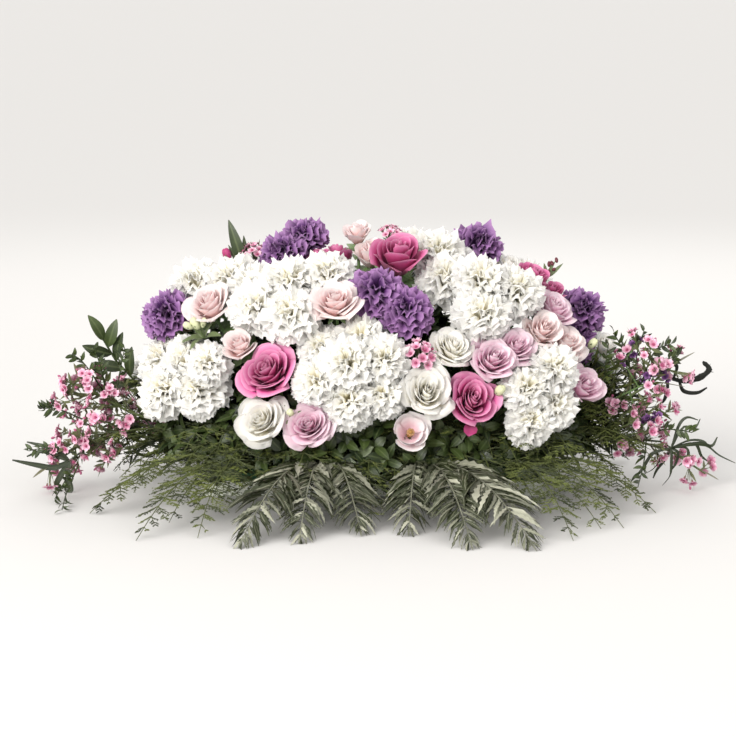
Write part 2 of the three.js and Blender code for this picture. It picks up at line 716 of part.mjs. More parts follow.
// A leafy stem at the left, its broad leaves in two rows
const LEAFY = { radius: 2.2, leafLength: 46, leafWidth: 17, leaves: 7, from: 0.62 };
function leafyStem(points) {
  const line = new THREE.CatmullRomCurve3(points).getPoints(SPRAY_STEM.steps);
  holes.push({ end: line[0], out: line[1], radius: LEAFY.radius });
  const solids = [rod(line, line.map(() => LEAFY.radius), 3)];
  const curve = new THREE.CatmullRomCurve3(line, false, "catmullrom", 0);
  for (let i = 0; i < LEAFY.leaves; i++) {
    const s = LEAFY.from + (0.97 - LEAFY.from) * (i / (LEAFY.leaves - 1));
    const along = curve.getTangent(s);
    const side = V(0, -1, 0).cross(along).normalize().multiplyScalar(i % 2 === 0 ? 1 : -1);
    const out = along.clone().addScaledVector(side, i === LEAFY.leaves - 1 ? 0 : 1).normalize();
    const root = curve.getPoint(s);
    const tip = root.clone().addScaledVector(out, LEAFY.leafLength);
    solids.push(leafGeometry(root, tip, V(0, -1, 0.2), LEAFY.leafWidth));
  }
  return fuse(solids);
}
addPart("leafy_stem_left", leafyStem(LEAFY_STEM), MATERIALS.leaf);

// A bare curling twig at the right
function curlyTwig(points) {
  const line = new THREE.CatmullRomCurve3(points).getPoints(CURLY.steps);
  holes.push({ end: line[0], out: line[1], radius: CURLY.radius });
  return rod(line, line.map((_, i) => CURLY.radius * (1 - (CURLY.taper * i) / CURLY.steps)), 4);
}
addPart("curly_twig_right", curlyTwig(CURLY.points), MATERIALS.leaf);

// Saddle: a shallow dish with lugs that grip the sides of the foam
const box = (x, y, z, at) => new THREE.BoxGeometry(x, y, z).translate(at.x, at.y, at.z);
function saddleGeometry() {
  const { length, width, floor, rim, wall, lugTop, lugWidth } = SADDLE;
  const outer = toSolid(box(length, width, rim, V(0, 0, rim / 2)));
  const inside = toSolid(box(length - 2 * wall, width - 2 * wall, rim, V(0, 0, floor + rim / 2)));
  let dish = outer.subtract(inside);
  const lugGap = FOAM.width / 2 + FOAM.gap;
  const lugDepth = width / 2 - wall / 2 - lugGap;
  for (const x of [-0.27, 0.27]) {
    for (const sign of [-1, 1]) {
      const y = sign * (lugGap + lugDepth / 2);
      dish = dish.add(toSolid(box(lugWidth, lugDepth, lugTop - 1, V(x * length, y, (lugTop + 1) / 2))));
    }
  }
  return fromSolid(dish);
}
addPart("saddle", saddleGeometry(), MATERIALS.saddle);

// A three-sided prism from its foot.
function prism(foot, run) {
  const corners = [...foot, ...foot.map((p) => p.clone().add(run))];
  return surface(corners, [0, 2, 1, 3, 4, 5, 0, 1, 4, 0, 4, 3, 1, 2, 5, 1, 5, 4, 2, 0, 3, 2, 3, 5]);
}

// Foam, with a plain three-sided hole for every stem
function foamGeometry() {
  let block = toSolid(box(FOAM.length, FOAM.width, FOAM.height, V(0, 0, FOAM_BASE + FOAM.height / 2)));
  const reach = 150;
  for (const { end, out, radius } of holes) {
    const along = out.clone().sub(end).normalize();
    const deep = end.clone().addScaledVector(along, -STEM.holeSlack);
    const r = 2 * (radius + STEM.holeSlack);
    const [u, v] = across(along);
    block = block.subtract(toSolid(prism(ringOf(deep, u, v, r, 3), along.multiplyScalar(reach))));
  }
  return fromSolid(block);
}
addPart("foam", foamGeometry(), MATERIALS.foam);

export default parts;
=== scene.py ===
import math
from math import pi, radians

import bpy
import numpy as np
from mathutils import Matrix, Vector


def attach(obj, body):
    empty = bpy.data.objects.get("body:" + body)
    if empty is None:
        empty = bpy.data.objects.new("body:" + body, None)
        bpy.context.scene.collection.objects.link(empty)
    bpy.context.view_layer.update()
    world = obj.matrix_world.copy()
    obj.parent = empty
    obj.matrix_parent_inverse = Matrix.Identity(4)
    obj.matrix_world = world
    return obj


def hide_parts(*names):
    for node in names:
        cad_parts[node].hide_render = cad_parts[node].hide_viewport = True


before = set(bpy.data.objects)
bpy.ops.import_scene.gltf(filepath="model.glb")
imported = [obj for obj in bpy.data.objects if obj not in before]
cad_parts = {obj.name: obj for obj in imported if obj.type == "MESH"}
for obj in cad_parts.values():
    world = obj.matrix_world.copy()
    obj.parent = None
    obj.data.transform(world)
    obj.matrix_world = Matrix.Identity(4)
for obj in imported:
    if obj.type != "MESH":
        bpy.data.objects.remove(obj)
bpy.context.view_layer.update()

mm = 0.001  # everything below is worked out in millimetres, as the solids are
print("frame loaded:", len(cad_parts), "nodes")


# camera, floor and lights

look = {"elevation": radians(9), "distance": 3600, "x": -9, "h": 177, "across": 1104, "sensor": 36}
ahead = Vector((0, math.cos(look["elevation"]), -math.sin(look["elevation"])))
rise = Vector((0, math.sin(look["elevation"]), math.cos(look["elevation"])))
eye = Vector((look["x"], 0, 0)) + rise * look["h"] - ahead * look["distance"]


def addCamera():
    bpy.ops.object.camera_add(location=eye * mm, rotation=(pi / 2 - look["elevation"], 0, 0))
    camera = bpy.context.object
    camera.data.sensor_width = look["sensor"]
    camera.data.lens = look["sensor"] * look["distance"] / look["across"]
    camera.data.clip_end = 500
    bpy.context.scene.camera = camera


studio = {
    "floor": (0.66, 0.652, 0.64), "floorRadius": 200, "floorRoughness": 0.9,
    "world": (1.0, 0.985, 0.97), "worldStrength": 0.97,
    "target": (0, 0, 0.15),
    # place, width, watts, colour
    "lamps": [
        ((-1.5, -3.3, 1.9), 1.7, 62, (1.0, 0.98, 0.95)),
        ((2.6, -1.9, 1.7), 2.4, 8, (1.0, 0.99, 0.98)),
        ((0.3, 2.7, 2.3), 2.4, 20, (1.0, 0.98, 0.96)),
    ],
    # the broad light from the upper left: where it comes from, its width as an angle, strength, colour
    "sun": ((-2.8, -3.0, 1.7), radians(40), 2.15, (1.0, 0.98, 0.95)),
}


def addLight(kind, place, target, strength, colour):
    aim = Vector(target) - Vector(place)
    bpy.ops.object.light_add(type=kind, location=place, rotation=aim.to_track_quat("-Z", "Y").to_euler())
    light = bpy.context.object.data
    light.energy, light.color = strength, colour
    return light


def addStudio():
    bpy.ops.mesh.primitive_circle_add(vertices=96, radius=studio["floorRadius"], fill_type="NGON")
    floor = bpy.context.object
    floor.name = "studio_floor"
    paper = bpy.data.materials.new("floorPaper")
    paper.use_nodes = True
    shader = paper.node_tree.nodes["Principled BSDF"]
    shader.inputs["Base Color"].default_value = (*studio["floor"], 1)
    shader.inputs["Roughness"].default_value = studio["floorRoughness"]
    floor.data.materials.append(paper)
    for place, width, strength, colour in studio["lamps"]:
        lamp = addLight("AREA", place, studio["target"], strength, colour)
        lamp.shape, lamp.size = "DISK", width
    place, angle, strength, colour = studio["sun"]
    addLight("SUN", place, (0, 0, 0), strength, colour).angle = angle
    world = bpy.data.worlds.new("studioWorld")
    world.use_nodes = True
    sky = world.node_tree.nodes["Background"].inputs
    sky["Color"].default_value = (*studio["world"], 1)
    sky["Strength"].default_value = studio["worldStrength"]
    bpy.context.scene.world = world
    bpy.context.scene.view_settings.view_transform = "Standard"


addCamera()
addStudio()
print("camera and studio set")


# blanks: small closed shapes, modelled once, that every copy is bent from

def readBlank():
    blank = bpy.context.object
    mesh = blank.data
    points = np.zeros(len(mesh.vertices) * 3)
    mesh.vertices.foreach_get("co", points)
    faces = sorted(tuple(face.vertices) for face in mesh.polygons)  # an extrude leaves them in any order
    bpy.data.objects.remove(blank, do_unlink=True)
    bpy.data.meshes.remove(mesh)
    return {
        "points": points.reshape(-1, 3).round(5),
        "quads": np.array([f for f in faces if len(f) == 4], dtype=int).reshape(-1, 4),
        "tris": np.array([f for f in faces if len(f) == 3], dtype=int).reshape(-1, 3),
    }


def selectAll():
    bpy.ops.mesh.select_all(action="SELECT")


def editAll(*steps):
    bpy.ops.object.mode_set(mode="EDIT")
    for step in (selectAll, *steps):
        step()
    bpy.ops.object.mode_set(mode="OBJECT")


# a sheet: x across from -1 to 1, y along from 0 to 1, z is -1 and 1 on its two faces, which meet at the rim
def sheetBlank(columns, rows):
    bpy.ops.mesh.primitive_grid_add(x_subdivisions=columns, y_subdivisions=rows, size=2)
    editAll(
        lambda: bpy.ops.transform.resize(value=(1, 0.5, 1)),
        lambda: bpy.ops.transform.translate(value=(0, 0.5, 0)),
    )
    blank = bpy.context.object
    inside = [v.index for v in blank.data.vertices if abs(v.co.x) < 0.99 and 0.01 < v.co.y < 0.99]
    blank.vertex_groups.new(name="middle").add(inside, 1.0, "REPLACE")
    bpy.ops.object.modifier_add(type="SOLIDIFY")
    solidify = blank.modifiers[-1]
    solidify.thickness, solidify.offset, solidify.use_rim = 2, 0, False
    solidify.vertex_group, solidify.thickness_vertex_group = "middle", 0
    bpy.ops.object.modifier_apply(modifier=solidify.name)
    editAll(lambda: bpy.ops.mesh.remove_doubles(threshold=0.001))
    return readBlank()


# a rod: a round of radius 1 drawn out along z from 0 to 1 in even lengths
def rodBlank(sides, lengths):
    bpy.ops.mesh.primitive_circle_add(vertices=sides, radius=1, fill_type="TRIFAN")
    step = {"value": (0, 0, 1 / lengths)}
    drawOut = [lambda: bpy.ops.mesh.extrude_region_move(TRANSFORM_OT_translate=step)] * lengths
    editAll(*drawOut, selectAll, lambda: bpy.ops.mesh.normals_make_consistent(inside=False))
    return readBlank()


def berryBlank(segments, rings):
    bpy.ops.mesh.primitive_uv_sphere_add(segments=segments, ring_count=rings, radius=1)
    return readBlank()


# a needle: a spike from z = 0 to 1
def needleBlank(sides):
    bpy.ops.mesh.primitive_cone_add(vertices=sides, radius1=1, depth=1, location=(0, 0, 0.5))
    bpy.ops.object.transform_apply(location=True, rotation=False, scale=False)
    return readBlank()


# columns and rows of a sheet, sides and lengths of a rod, segments and rings of a berry, sides of a needle
blankSizes = {
    sheetBlank: {
        "frill": (12, 3), "plainFrill": (8, 2), "petal": (7, 5), "leaf": (4, 8), "narrow": (2, 4), "tiny": (2, 2),
        "ribbon": (2, 12),
    },
    rodBlank: {"stem": (8, 4), "twig": (6, 28), "spine": (5, 10), "sprig": (3, 5), "thread": (3, 1)},
    berryBlank: {"berry": (8, 6), "bead": (5, 4)},
    needleBlank: {"needle": (3,)},
}
blanks = {}
for makeBlank, sizes in blankSizes.items():
    for name, size in sizes.items():
        bpy.ops.object.select_all(action="DESELECT")
        blanks[name] = makeBlank(*size)
print("blanks modelled:", len(blanks))


# shapes: points in mm, faces, a flat place on the petal or leaf, and four marks for the finish:
# how near the rim, how far out from the heart, a draw of its own, and green

def unit(vectors):
    return vectors / np.maximum(np.linalg.norm(vectors, axis=-1, keepdims=True), 1e-9)


# Two ways square to each given way and to each other.
def squareTo(ways):
    helper = np.where(np.abs(ways[..., 2:]) < 0.9, (0.0, 0.0, 1.0), (0.0, 1.0, 0.0))
    u = unit(np.cross(helper, ways))
    return u, np.cross(ways, u)


# Ways out from a middle, at turns from u towards v.
def outAt(turns, u, v):
    return np.cos(turns)[:, None] * u + np.sin(turns)[:, None] * v


# What a line holds at shares of the way along it.
def alongLine(line, shares):
    return np.stack([np.interp(shares, np.linspace(0, 1, len(line)), part) for part in line.T], axis=1)


def raised(points, lowest):
    points[..., 2] = np.maximum(points[..., 2], lowest)
    return points


def keepOffFloor(shapes, lowest=0.4):
    for shape in shapes:
        raised(shape["points"], lowest)
    return shapes


def copiesOf(blankName, points, near=0.5, out=0.5, own=0.5, green=0.0):
    blank = blanks[blankName]
    count, size = points.shape[:2]
    shift = (np.arange(count) * size)[:, None, None]
    marks = np.zeros((count, size, 4))
    for i, mark in enumerate((near, out, own, green)):
        marks[:, :, i] = mark
    flat = np.broadcast_to(blank["points"][None, :, :2], (count, size, 2))
    return {
        "points": points.reshape(-1, 3),
        "quads": (blank["quads"][None] + shift).reshape(-1, 4),
        "tris": (blank["tris"][None] + shift).reshape(-1, 3),
        "flat": (flat * (0.5, 1) + (0.5, 0)).reshape(-1, 2),
        "marks": marks.reshape(-1, 4),
    }


# One object from many shapes, its place in its mesh.
def addPiece(name, shapes, finish, slot, *nodes):
    points = np.concatenate([s["points"] for s in shapes]) * mm
    starts = np.cumsum([0] + [len(s["points"]) for s in shapes])
    quads = np.concatenate([s["quads"] + k for s, k in zip(shapes, starts)])
    tris = np.concatenate([s["tris"] + k for s, k in zip(shapes, starts)])
    corners = np.concatenate([quads.ravel(), tris.ravel()])
    sizes = np.concatenate([np.full(len(quads), 4), np.full(len(tris), 3)])
    mesh = bpy.data.meshes.new(name)
    mesh.vertices.add(len(points))
    mesh.vertices.foreach_set("co", points.ravel())
    mesh.loops.add(len(corners))
    mesh.loops.foreach_set("vertex_index", corners)
    mesh.polygons.add(len(sizes))
    mesh.polygons.foreach_set("loop_start", np.cumsum(sizes) - sizes)
    mesh.update(calc_edges=True)
    flat = np.concatenate([s["flat"] for s in shapes])
    mesh.uv_layers.new(name="flat").data.foreach_set("uv", flat[corners].ravel())
    marks = mesh.color_attributes.new(name="marks", type="FLOAT_COLOR", domain="POINT")
    marks.data.foreach_set("color", np.concatenate([s["marks"] for s in shapes]).ravel())
    piece = bpy.data.objects.new(name, mesh)
    bpy.context.scene.collection.objects.link(piece)
    bpy.ops.object.select_all(action="DESELECT")
    piece.select_set(True)
    bpy.context.view_layer.objects.active = piece
    bpy.ops.object.shade_smooth_by_angle(angle=radians(70))
    mesh.materials.append(finishes[finish])
    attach(piece, "root")
    if nodes:
        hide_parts(*nodes)


# One object in place of a solid.
def dress(node, shapes, finish, slot):
    addPiece("dressed_" + node, shapes, finish, slot, node)


# One object for each row of a table, which is a side of the spray.
def addSides(name, kind, rows, makeShapes, finish, slot):
    for number, (side, row) in enumerate(rows.items()):
        addPiece(name + side, keepOffFloor(makeShapes(side, row, drawFor(kind, number))), finish, slot)


# A rod bent along a line of points, with a radius for each.
def rodAlong(blankName, line, radii, **marks):
    line = np.array(line, float)
    x, y, s = blanks[blankName]["points"].T
    ways = unit(np.gradient(line, axis=0))
    side = unit(np.cross(ways[0], (0.31, 0.17, 0.93)))
    sides = []
    for way in ways:  # carried along so that the rod does not twist
        side = unit(side - way * side.dot(way))
        sides.append(side)
    u = unit(alongLine(np.array(sides), s))
    v = np.cross(unit(alongLine(ways, s)), u)
    r = np.interp(s, np.linspace(0, 1, len(radii)), radii)[:, None]
    return copiesOf(blankName, (alongLine(line, s) + r * (x[:, None] * u + y[:, None] * v))[None], **marks)


# A long narrow leaf bent along a line of points, with one face turned towards a side.
def leafAlong(line, wide, face, **marks):
    a, t, n = blanks["ribbon"]["points"].T
    way = unit(alongLine(np.gradient(line, axis=0), t))
    across = unit(np.cross(way, face))
    half = 0.4 + wide * np.sin(pi * (0.1 + 0.86 * np.clip(t, 0, 1)) ** 0.85) ** 0.8
    lift = 0.25 * half * np.abs(a) + 0.35 * n
    points = alongLine(line, t) + across * (a * half)[:, None] + np.cross(across, way) * lift[:, None]
    return copiesOf("ribbon", points[None], **marks)


# Needles, berries or beads, each at its place and set along its way.
def setCopies(blankName, places, ways, wide, tall, **marks):
    x, y, z = blanks[blankName]["points"].T[:, None, :, None]
    u, v = squareTo(ways)
    wide, tall = (np.broadcast_to(size, len(places))[:, None, None] for size in (wide, tall))
    points = places[:, None] + wide * (x * u[:, None] + y * v[:, None]) + tall * z * ways[:, None]
    return copiesOf(blankName, points, **marks)


# Blades from roots to tips: a half width for each, pointed at both ends, folded a little on the midrib.
def blades(
    blankName, roots, tips, faces, wide, thick=0.6, fullest=0.42,
    teeth=0.0, fold=0.25, bow=0.0, sweep=0.0, **marks
):
    a, t, n = blanks[blankName]["points"].T[:, None]
    rows = len(np.unique(t)) - 1
    roots = np.broadcast_to(roots, tips.shape)
    along = tips - roots
    length = np.linalg.norm(along, axis=1, keepdims=True)
    way = along / length
    across = unit(np.cross(way, faces))
    face = np.cross(across, way)
    bulge = np.maximum(np.sin(pi * np.clip(t, 0.0, 1.0) ** (math.log(0.5) / math.log(fullest))), 0)
    tooth = 1 - teeth * (np.round(t * rows).astype(int) % 2)
    half = np.asarray(wide).reshape(-1, 1) * (0.08 + 0.92 * bulge ** 0.8) * tooth
    arch = length * np.sin(pi * t)
    lift = fold * half * np.abs(a) + bow * arch + n * thick / 2
    points = roots[:, None] + along[:, None] * t[..., None]
    points = points + across[:, None] * (a * half + sweep * arch)[..., None] + face[:, None] * lift[..., None]
    return copiesOf(blankName, points, **marks)


# Points as far apart as the solids have them, on a smooth line through a few places.
def smoothLine(places, steps):
    places = [np.array(p, float) for p in places]
    ends = [places[0] * 2 - places[1]] + places + [places[-1] * 2 - places[-2]]
    line = []
    for share in np.linspace(0, 1, steps + 1) * (len(places) - 1):
        k = min(int(share), len(places) - 2)
        w = share - k
        p0, p1, p2, p3 = ends[k:k + 4]
        # centripetal knots
        d1, d2, d3 = (max(np.linalg.norm(q - p) ** 0.5, 1e-4) for p, q in ((p0, p1), (p1, p2), (p2, p3)))
        m1 = ((p1 - p0) / d1 - (p2 - p0) / (d1 + d2) + (p2 - p1) / d2) * d2
        m2 = ((p2 - p1) / d2 - (p3 - p1) / (d2 + d3) + (p3 - p2) / d3) * d2
        line.append(
            (2 * w ** 3 - 3 * w ** 2 + 1) * p1 + (w ** 3 - 2 * w ** 2 + w) * m1
            + (3 * w ** 2 - 2 * w ** 3) * p2 + (w ** 3 - w ** 2) * m2
        )
    return np.array(line)


# From x and height as seen from the front, at a distance y, to a place.
def seenAt(x, h, y):
    return np.array((x, y, (h - rise.y * y) / rise.z))


# A seeded draw for each kind of piece, and for each piece of that kind.
seeds = {
    "blooms": 100, "fans": 200, "bed": 300, "greens": 350, "waxSprays": 400, "waxClusters": 450,
    "berryTwig": 500, "lisianthusBuds": 510, "singleBuds": 512, "leafyStem": 520, "curlyTwig": 530,
    "curlingLeaves": 540, "purpleSpikes": 550, "smallTwigs": 560, "endFoliage": 580,
}


def drawFor(kind, number=0):
    return np.random.default_rng(seeds[kind] + number)


# finishes

def setInputs(tree, node, inputs):
    for key, value in inputs.items():
        socket = node.inputs[key]
        if isinstance(value, bpy.types.NodeSocket):
            tree.links.new(value, socket)
        else:
            socket.default_value = (*value, 1) if socket.type == "RGBA" else value


# A node with its settings and its inputs: numbers, colours or other nodes' outputs. It gives one output.
def addNode(tree, kind, output, inputs, **settings):
    node = tree.nodes.new("ShaderNode" + kind)
    for name, setting in settings.items():
        setattr(node, name, setting)
    setInputs(tree, node, inputs)
    return node.outputs[output]


def mixColour(tree, factor, first, second):
    return addNode(tree, "Mix", 2, {0: factor, 6: first, 7: second}, data_type="RGBA")


def remap(tree, value, low, high, toLow=0.0, toHigh=1.0):
    ends = {"From Min": low, "From Max": high, "To Min": toLow, "To Max": toHigh}
    return addNode(tree, "MapRange", "Result", {"Value": value, **ends})


# Noise in the object's own place.
def clouds(tree, scale, detail):
    place = addNode(tree, "TexCoord", "Object", {})
    return addNode(tree, "TexNoise", "Fac", {"Vector": place, "Scale": scale, "Detail": detail})


# Across and along a petal or leaf.
def flatPlace(tree):
    flat = addNode(tree, "UVMap", "UV", {}, uv_map="flat")
    parts = addNode(tree, "SeparateXYZ", "X", {"Vector": flat}).node.outputs
    return parts["X"], parts["Y"]


# The four marks: near the rim, out from the heart, a draw of its own, and green.
def marksOf(tree):
    marks = addNode(tree, "Attribute", "Color", {}, attribute_name="marks")
    parts = addNode(tree, "SeparateColor", "Red", {"Color": marks}).node.outputs
    return parts["Red"], parts["Green"], parts["Blue"], marks.node.outputs["Alpha"]


def newGroup(name, kind, inputs, output):
    group = bpy.data.node_groups.new(name, "ShaderNodeTree")
    for socket in inputs:
        group.interface.new_socket(name=socket, in_out="INPUT", socket_type=kind)
    group.interface.new_socket(name=output, in_out="OUTPUT", socket_type=kind)
    return group, group.nodes.new("NodeGroupInput").outputs, group.nodes.new("NodeGroupOutput")


# Veins that run from the root of a petal or leaf to its rim, read from its flat place.
def makeVeinGroup():
    group, given, end = newGroup("veinRelief", "NodeSocketFloat", ("Veins",), "Height")
    across, along = flatPlace(group)
    count = addNode(group, "Math", 0, {0: across, 1: given["Veins"]}, operation="MULTIPLY")
    stretched = addNode(group, "CombineXYZ", "Vector", {"X": count, "Y": along})
    veins = addNode(group, "TexNoise", "Fac", {"Vector": stretched, "Scale": 3.0, "Detail": 3.0})
    setInputs(group, end, {"Height": veins})
    return group


petalParts = ("FootAndShade", "HeartAndShade", "Body", "Rim", "Green")


# Petal colour from the four marks: the darker foot and heart colours are partly the petal's own deeper colour and
# partly painted shade deep in the bloom; then body; the lighter rim colour is partly the petal's own and partly a
# painted highlight; and green below.
def makePetalGroup():
    group, given, end = newGroup("petalColourAndPaintedLight", "NodeSocketColor", petalParts, "Colour")
    near, out, own, green = marksOf(group)
    # heart and foot: partly painted shade in the bloom's depths; rim: partly a painted highlight
    body = mixColour(group, remap(group, out, 0.05, 0.7), given["HeartAndShade"], given["Body"])
    foot = mixColour(group, remap(group, near, 0.15, 0.75), given["FootAndShade"], body)
    rimmed = mixColour(group, remap(group, near, 0.72, 1.0, 0.0, 0.85), foot, given["Rim"])
    shade = remap(group, own, 0.0, 1.0, 0.9, 1.06)
    cloudy = remap(group, clouds(group, 90.0, 2.0), 0.3, 0.7, 0.93, 1.04)
    strength = addNode(group, "Math", 0, {0: shade, 1: cloudy}, operation="MULTIPLY")
    tinted = addNode(group, "VectorMath", 0, {0: rimmed, "Scale": strength}, operation="SCALE")
    setInputs(group, end, {"Colour": mixColour(group, green, tinted, given["Green"])})
    return group


veinGroup = makeVeinGroup()
petalGroup = makePetalGroup()
skin = {
    "petalVeins": 22.0, "leafVeins": 9.0, "depth": 0.0006, "softRadius": (0.85, 0.9, 1.0), "softScale": 0.0018,
    "sheen": 0.08, "stemGreen": (0.13, 0.22, 0.07), "leafRelief": 0.5,
}


def newFinish(name, roughness, sheen=0.0, soft=0.0):
    material = bpy.data.materials.new(name)
    material.use_nodes = True
    tree = material.node_tree
    shader = tree.nodes["Principled BSDF"]
    setInputs(tree, shader, {
        "Roughness": roughness, "Sheen Weight": sheen, "Subsurface Weight": soft,
        "Subsurface Radius": skin["softRadius"], "Subsurface Scale": skin["softScale"],
    })
    return material, tree, shader


def reliefFrom(tree, height, strength, depth):
    return addNode(tree, "Bump", "Normal", {"Strength": strength, "Distance": depth, "Height": height})


def veinRelief(tree, veins, strength):
    height = addNode(tree, "Group", "Height", {"Veins": veins}, node_tree=veinGroup)
    return reliefFrom(tree, height, strength, skin["depth"])


def petalFinish(name, roughness, relief, soft, *colours):
    material, tree, shader = newFinish(name, roughness, skin["sheen"], soft)
    parts = dict(zip(petalParts, (*colours, skin["stemGreen"])))
    colour = addNode(tree, "Group", "Colour", parts, node_tree=petalGroup)
    setInputs(tree, shader, {"Base Color": colour, "Normal": veinRelief(tree, skin["petalVeins"], relief)})
    return material


# Leaf green: two greens by each leaf's own draw, a paler midrib and mottling.
def leafFinish(name, roughness, dark, light, rib, variety=0.38, mottle=0.9):
    material, tree, shader = newFinish(name, roughness)
    cloud = clouds(tree, 55.0, 3.0)
    own = remap(tree, marksOf(tree)[2], 0, 1, -variety, variety)
    blend = addNode(tree, "Math", 0, {0: cloud, 1: mottle, 2: own}, operation="MULTIPLY_ADD", use_clamp=True)
    middle = addNode(tree, "Math", 0, {0: flatPlace(tree)[0], 1: 0.5}, operation="PINGPONG")
    leafColour = mixColour(tree, blend, dark, light)
    setInputs(tree, shader, {
        "Base Color": mixColour(tree, remap(tree, middle, 0.38, 0.5, 0.0, 0.6), leafColour, rib),
        "Roughness": remap(tree, cloud, 0.3, 0.7, roughness - 0.08, roughness + 0.1),
        "Normal": veinRelief(tree, skin["leafVeins"], skin["leafRelief"]),
    })
    return material


petalFinishes = {
    # roughness, relief and softness, then foot, heart, body, rim and, where it isn't a stem's, the green below.
    # The darker foot and heart colours are partly painted shade and the lighter rim colour partly a painted
    # highlight.
    "white": (
        "whiteCarnationPetal", 0.62, 0.2, 0.6,
        (0.84, 0.75, 0.48), (0.97, 0.94, 0.82), (0.985, 0.975, 0.94), (0.99, 0.985, 0.965),
    ),
    "purple": (
        "purpleCarnationPetal", 0.62, 0.3, 0,
        (0.026, 0.004, 0.045), (0.075, 0.012, 0.115), (0.155, 0.042, 0.20), (0.38, 0.20, 0.42),
    ),
    "magenta": (
        "magentaRosePetal", 0.5, 0.3, 0.25,
        (0.20, 0.006, 0.055), (0.42, 0.022, 0.15), (0.62, 0.075, 0.29), (0.88, 0.40, 0.61),
    ),
    "crimson": (
        "crimsonRosePetal", 0.5, 0.3, 0.25,
        (0.13, 0.004, 0.035), (0.30, 0.012, 0.10), (0.50, 0.036, 0.19), (0.76, 0.22, 0.44),
    ),
    "lavender": (
        "lavenderRosePetal", 0.5, 0.3, 0.45,
        (0.60, 0.23, 0.36), (0.80, 0.42, 0.56), (0.90, 0.60, 0.73), (0.95, 0.77, 0.85),
    ),
    "blush": (
        "blushRosePetal", 0.5, 0.3, 0.5,
        (0.80, 0.46, 0.42), (0.90, 0.54, 0.53), (0.96, 0.79, 0.78), (0.98, 0.88, 0.87),
    ),
    "cream": (
        "creamRosePetal", 0.5, 0.3, 0.7,
        (0.90, 0.82, 0.60), (0.96, 0.91, 0.76), (0.98, 0.96, 0.91), (0.985, 0.975, 0.94),
    ),
    "lisianthus": (
        "lisianthusPetal", 0.5, 0.3, 0.5,
        (0.88, 0.56, 0.62), (0.97, 0.85, 0.87), (0.98, 0.93, 0.93), (0.985, 0.96, 0.955), (0.30, 0.15, 0.02),
    ),
    "wax": (
        "waxFlowerPetal", 0.5, 0.5, 0,
        (0.32, 0.03, 0.10), (0.50, 0.10, 0.24), (0.78, 0.40, 0.54), (0.92, 0.68, 0.77), (0.10, 0.13, 0.04),
    ),
    "bud": (
        "lisianthusBud", 0.45, 0.5, 0,
        (0.30, 0.38, 0.12), (0.62, 0.66, 0.34), (0.80, 0.80, 0.56), (0.84, 0.80, 0.66), (0.10, 0.14, 0.05),
    ),
    "berry": (
        "redBud", 0.35, 0.5, 0,
        (0.07, 0.008, 0.014), (0.12, 0.012, 0.02), (0.16, 0.015, 0.03), (0.22, 0.03, 0.05), (0.10, 0.15, 0.05),
    ),
}
leafFinishes = {
    # roughness, dark, light, rib, then variety between leaves and mottling
    "silverFern": (
        "silverFernLeaf", 0.45, (0.028, 0.036, 0.012), (0.56, 0.56, 0.44), (0.36, 0.36, 0.26), 0.55, 0.45,
    ),
    "featherFern": (
        "featherFernLeaf", 0.68, (0.007, 0.013, 0.003), (0.12, 0.145, 0.024), (0.08, 0.10, 0.022), 0.6,
    ),
    "leaf": ("glossyLeaf", 0.36, (0.011, 0.021, 0.006), (0.068, 0.100, 0.025), (0.12, 0.155, 0.06)),
    "darkLeaf": ("darkCurlingLeaf", 0.45, (0.012, 0.020, 0.007), (0.045, 0.062, 0.02), (0.05, 0.07, 0.03)),
    "bark": ("twigBark", 0.8, (0.006, 0.008, 0.005), (0.020, 0.022, 0.013), (0.02, 0.024, 0.014)),
}
finishes = {name: petalFinish(*row) for name, row in petalFinishes.items()}
finishes.update({name: leafFinish(*row) for name, row in leafFinishes.items()})
print("finishes made:", len(finishes))


# the dome that the blooms stand on

core = Vector((0, 0, 40))
dome = {"outer": Vector((362, 205, 319)), "inner": Vector((198, 40, 18)), "power": 2.25}
power = dome["power"]


def domeLevel(p, size):
    return sum(abs((p[i] - core[i]) / size[i]) ** power for i in range(3))


def domeReach(a, b):
    return max(1 - abs(a) ** power - abs(b) ** power, 0.02) ** (1 / power)


# Stems run straight between matching points of the two domes, so no two of them cross.
def stemEnd(p):
    low, high = -0.5, 1.0
    for _ in range(40):
        t = (low + high) / 2
        size = dome["outer"].lerp(dome["inner"], t)
        if domeLevel(p, size) > 1:
            high = t
        else:
            low = t
    return core + Vector((p[i] - core[i]) / size[i] * dome["inner"][i] for i in range(3))


def seenOnDome(x, h):
    aim = Vector((x, 0, 0)) + rise * h
    along = (aim - eye).normalized()
    lowest, best = math.inf, None
    for s in range(-300, 301, 2):
        p = aim + along * s
        level = domeLevel(p, dome["outer"])
        if level <= 1:
            return p
        if level < lowest:
            lowest, best = level, p
    return best


def aboveOnDome(x, y):
    size = dome["outer"]
    return Vector((x, y, core.z + size.z * domeReach(x / size.x, y / size.y)))


def behindOnDome(x, z):
    size = dome["outer"]
    return Vector((x, size.y * domeReach(x / size.x, (z - core.z) / size.z), z))


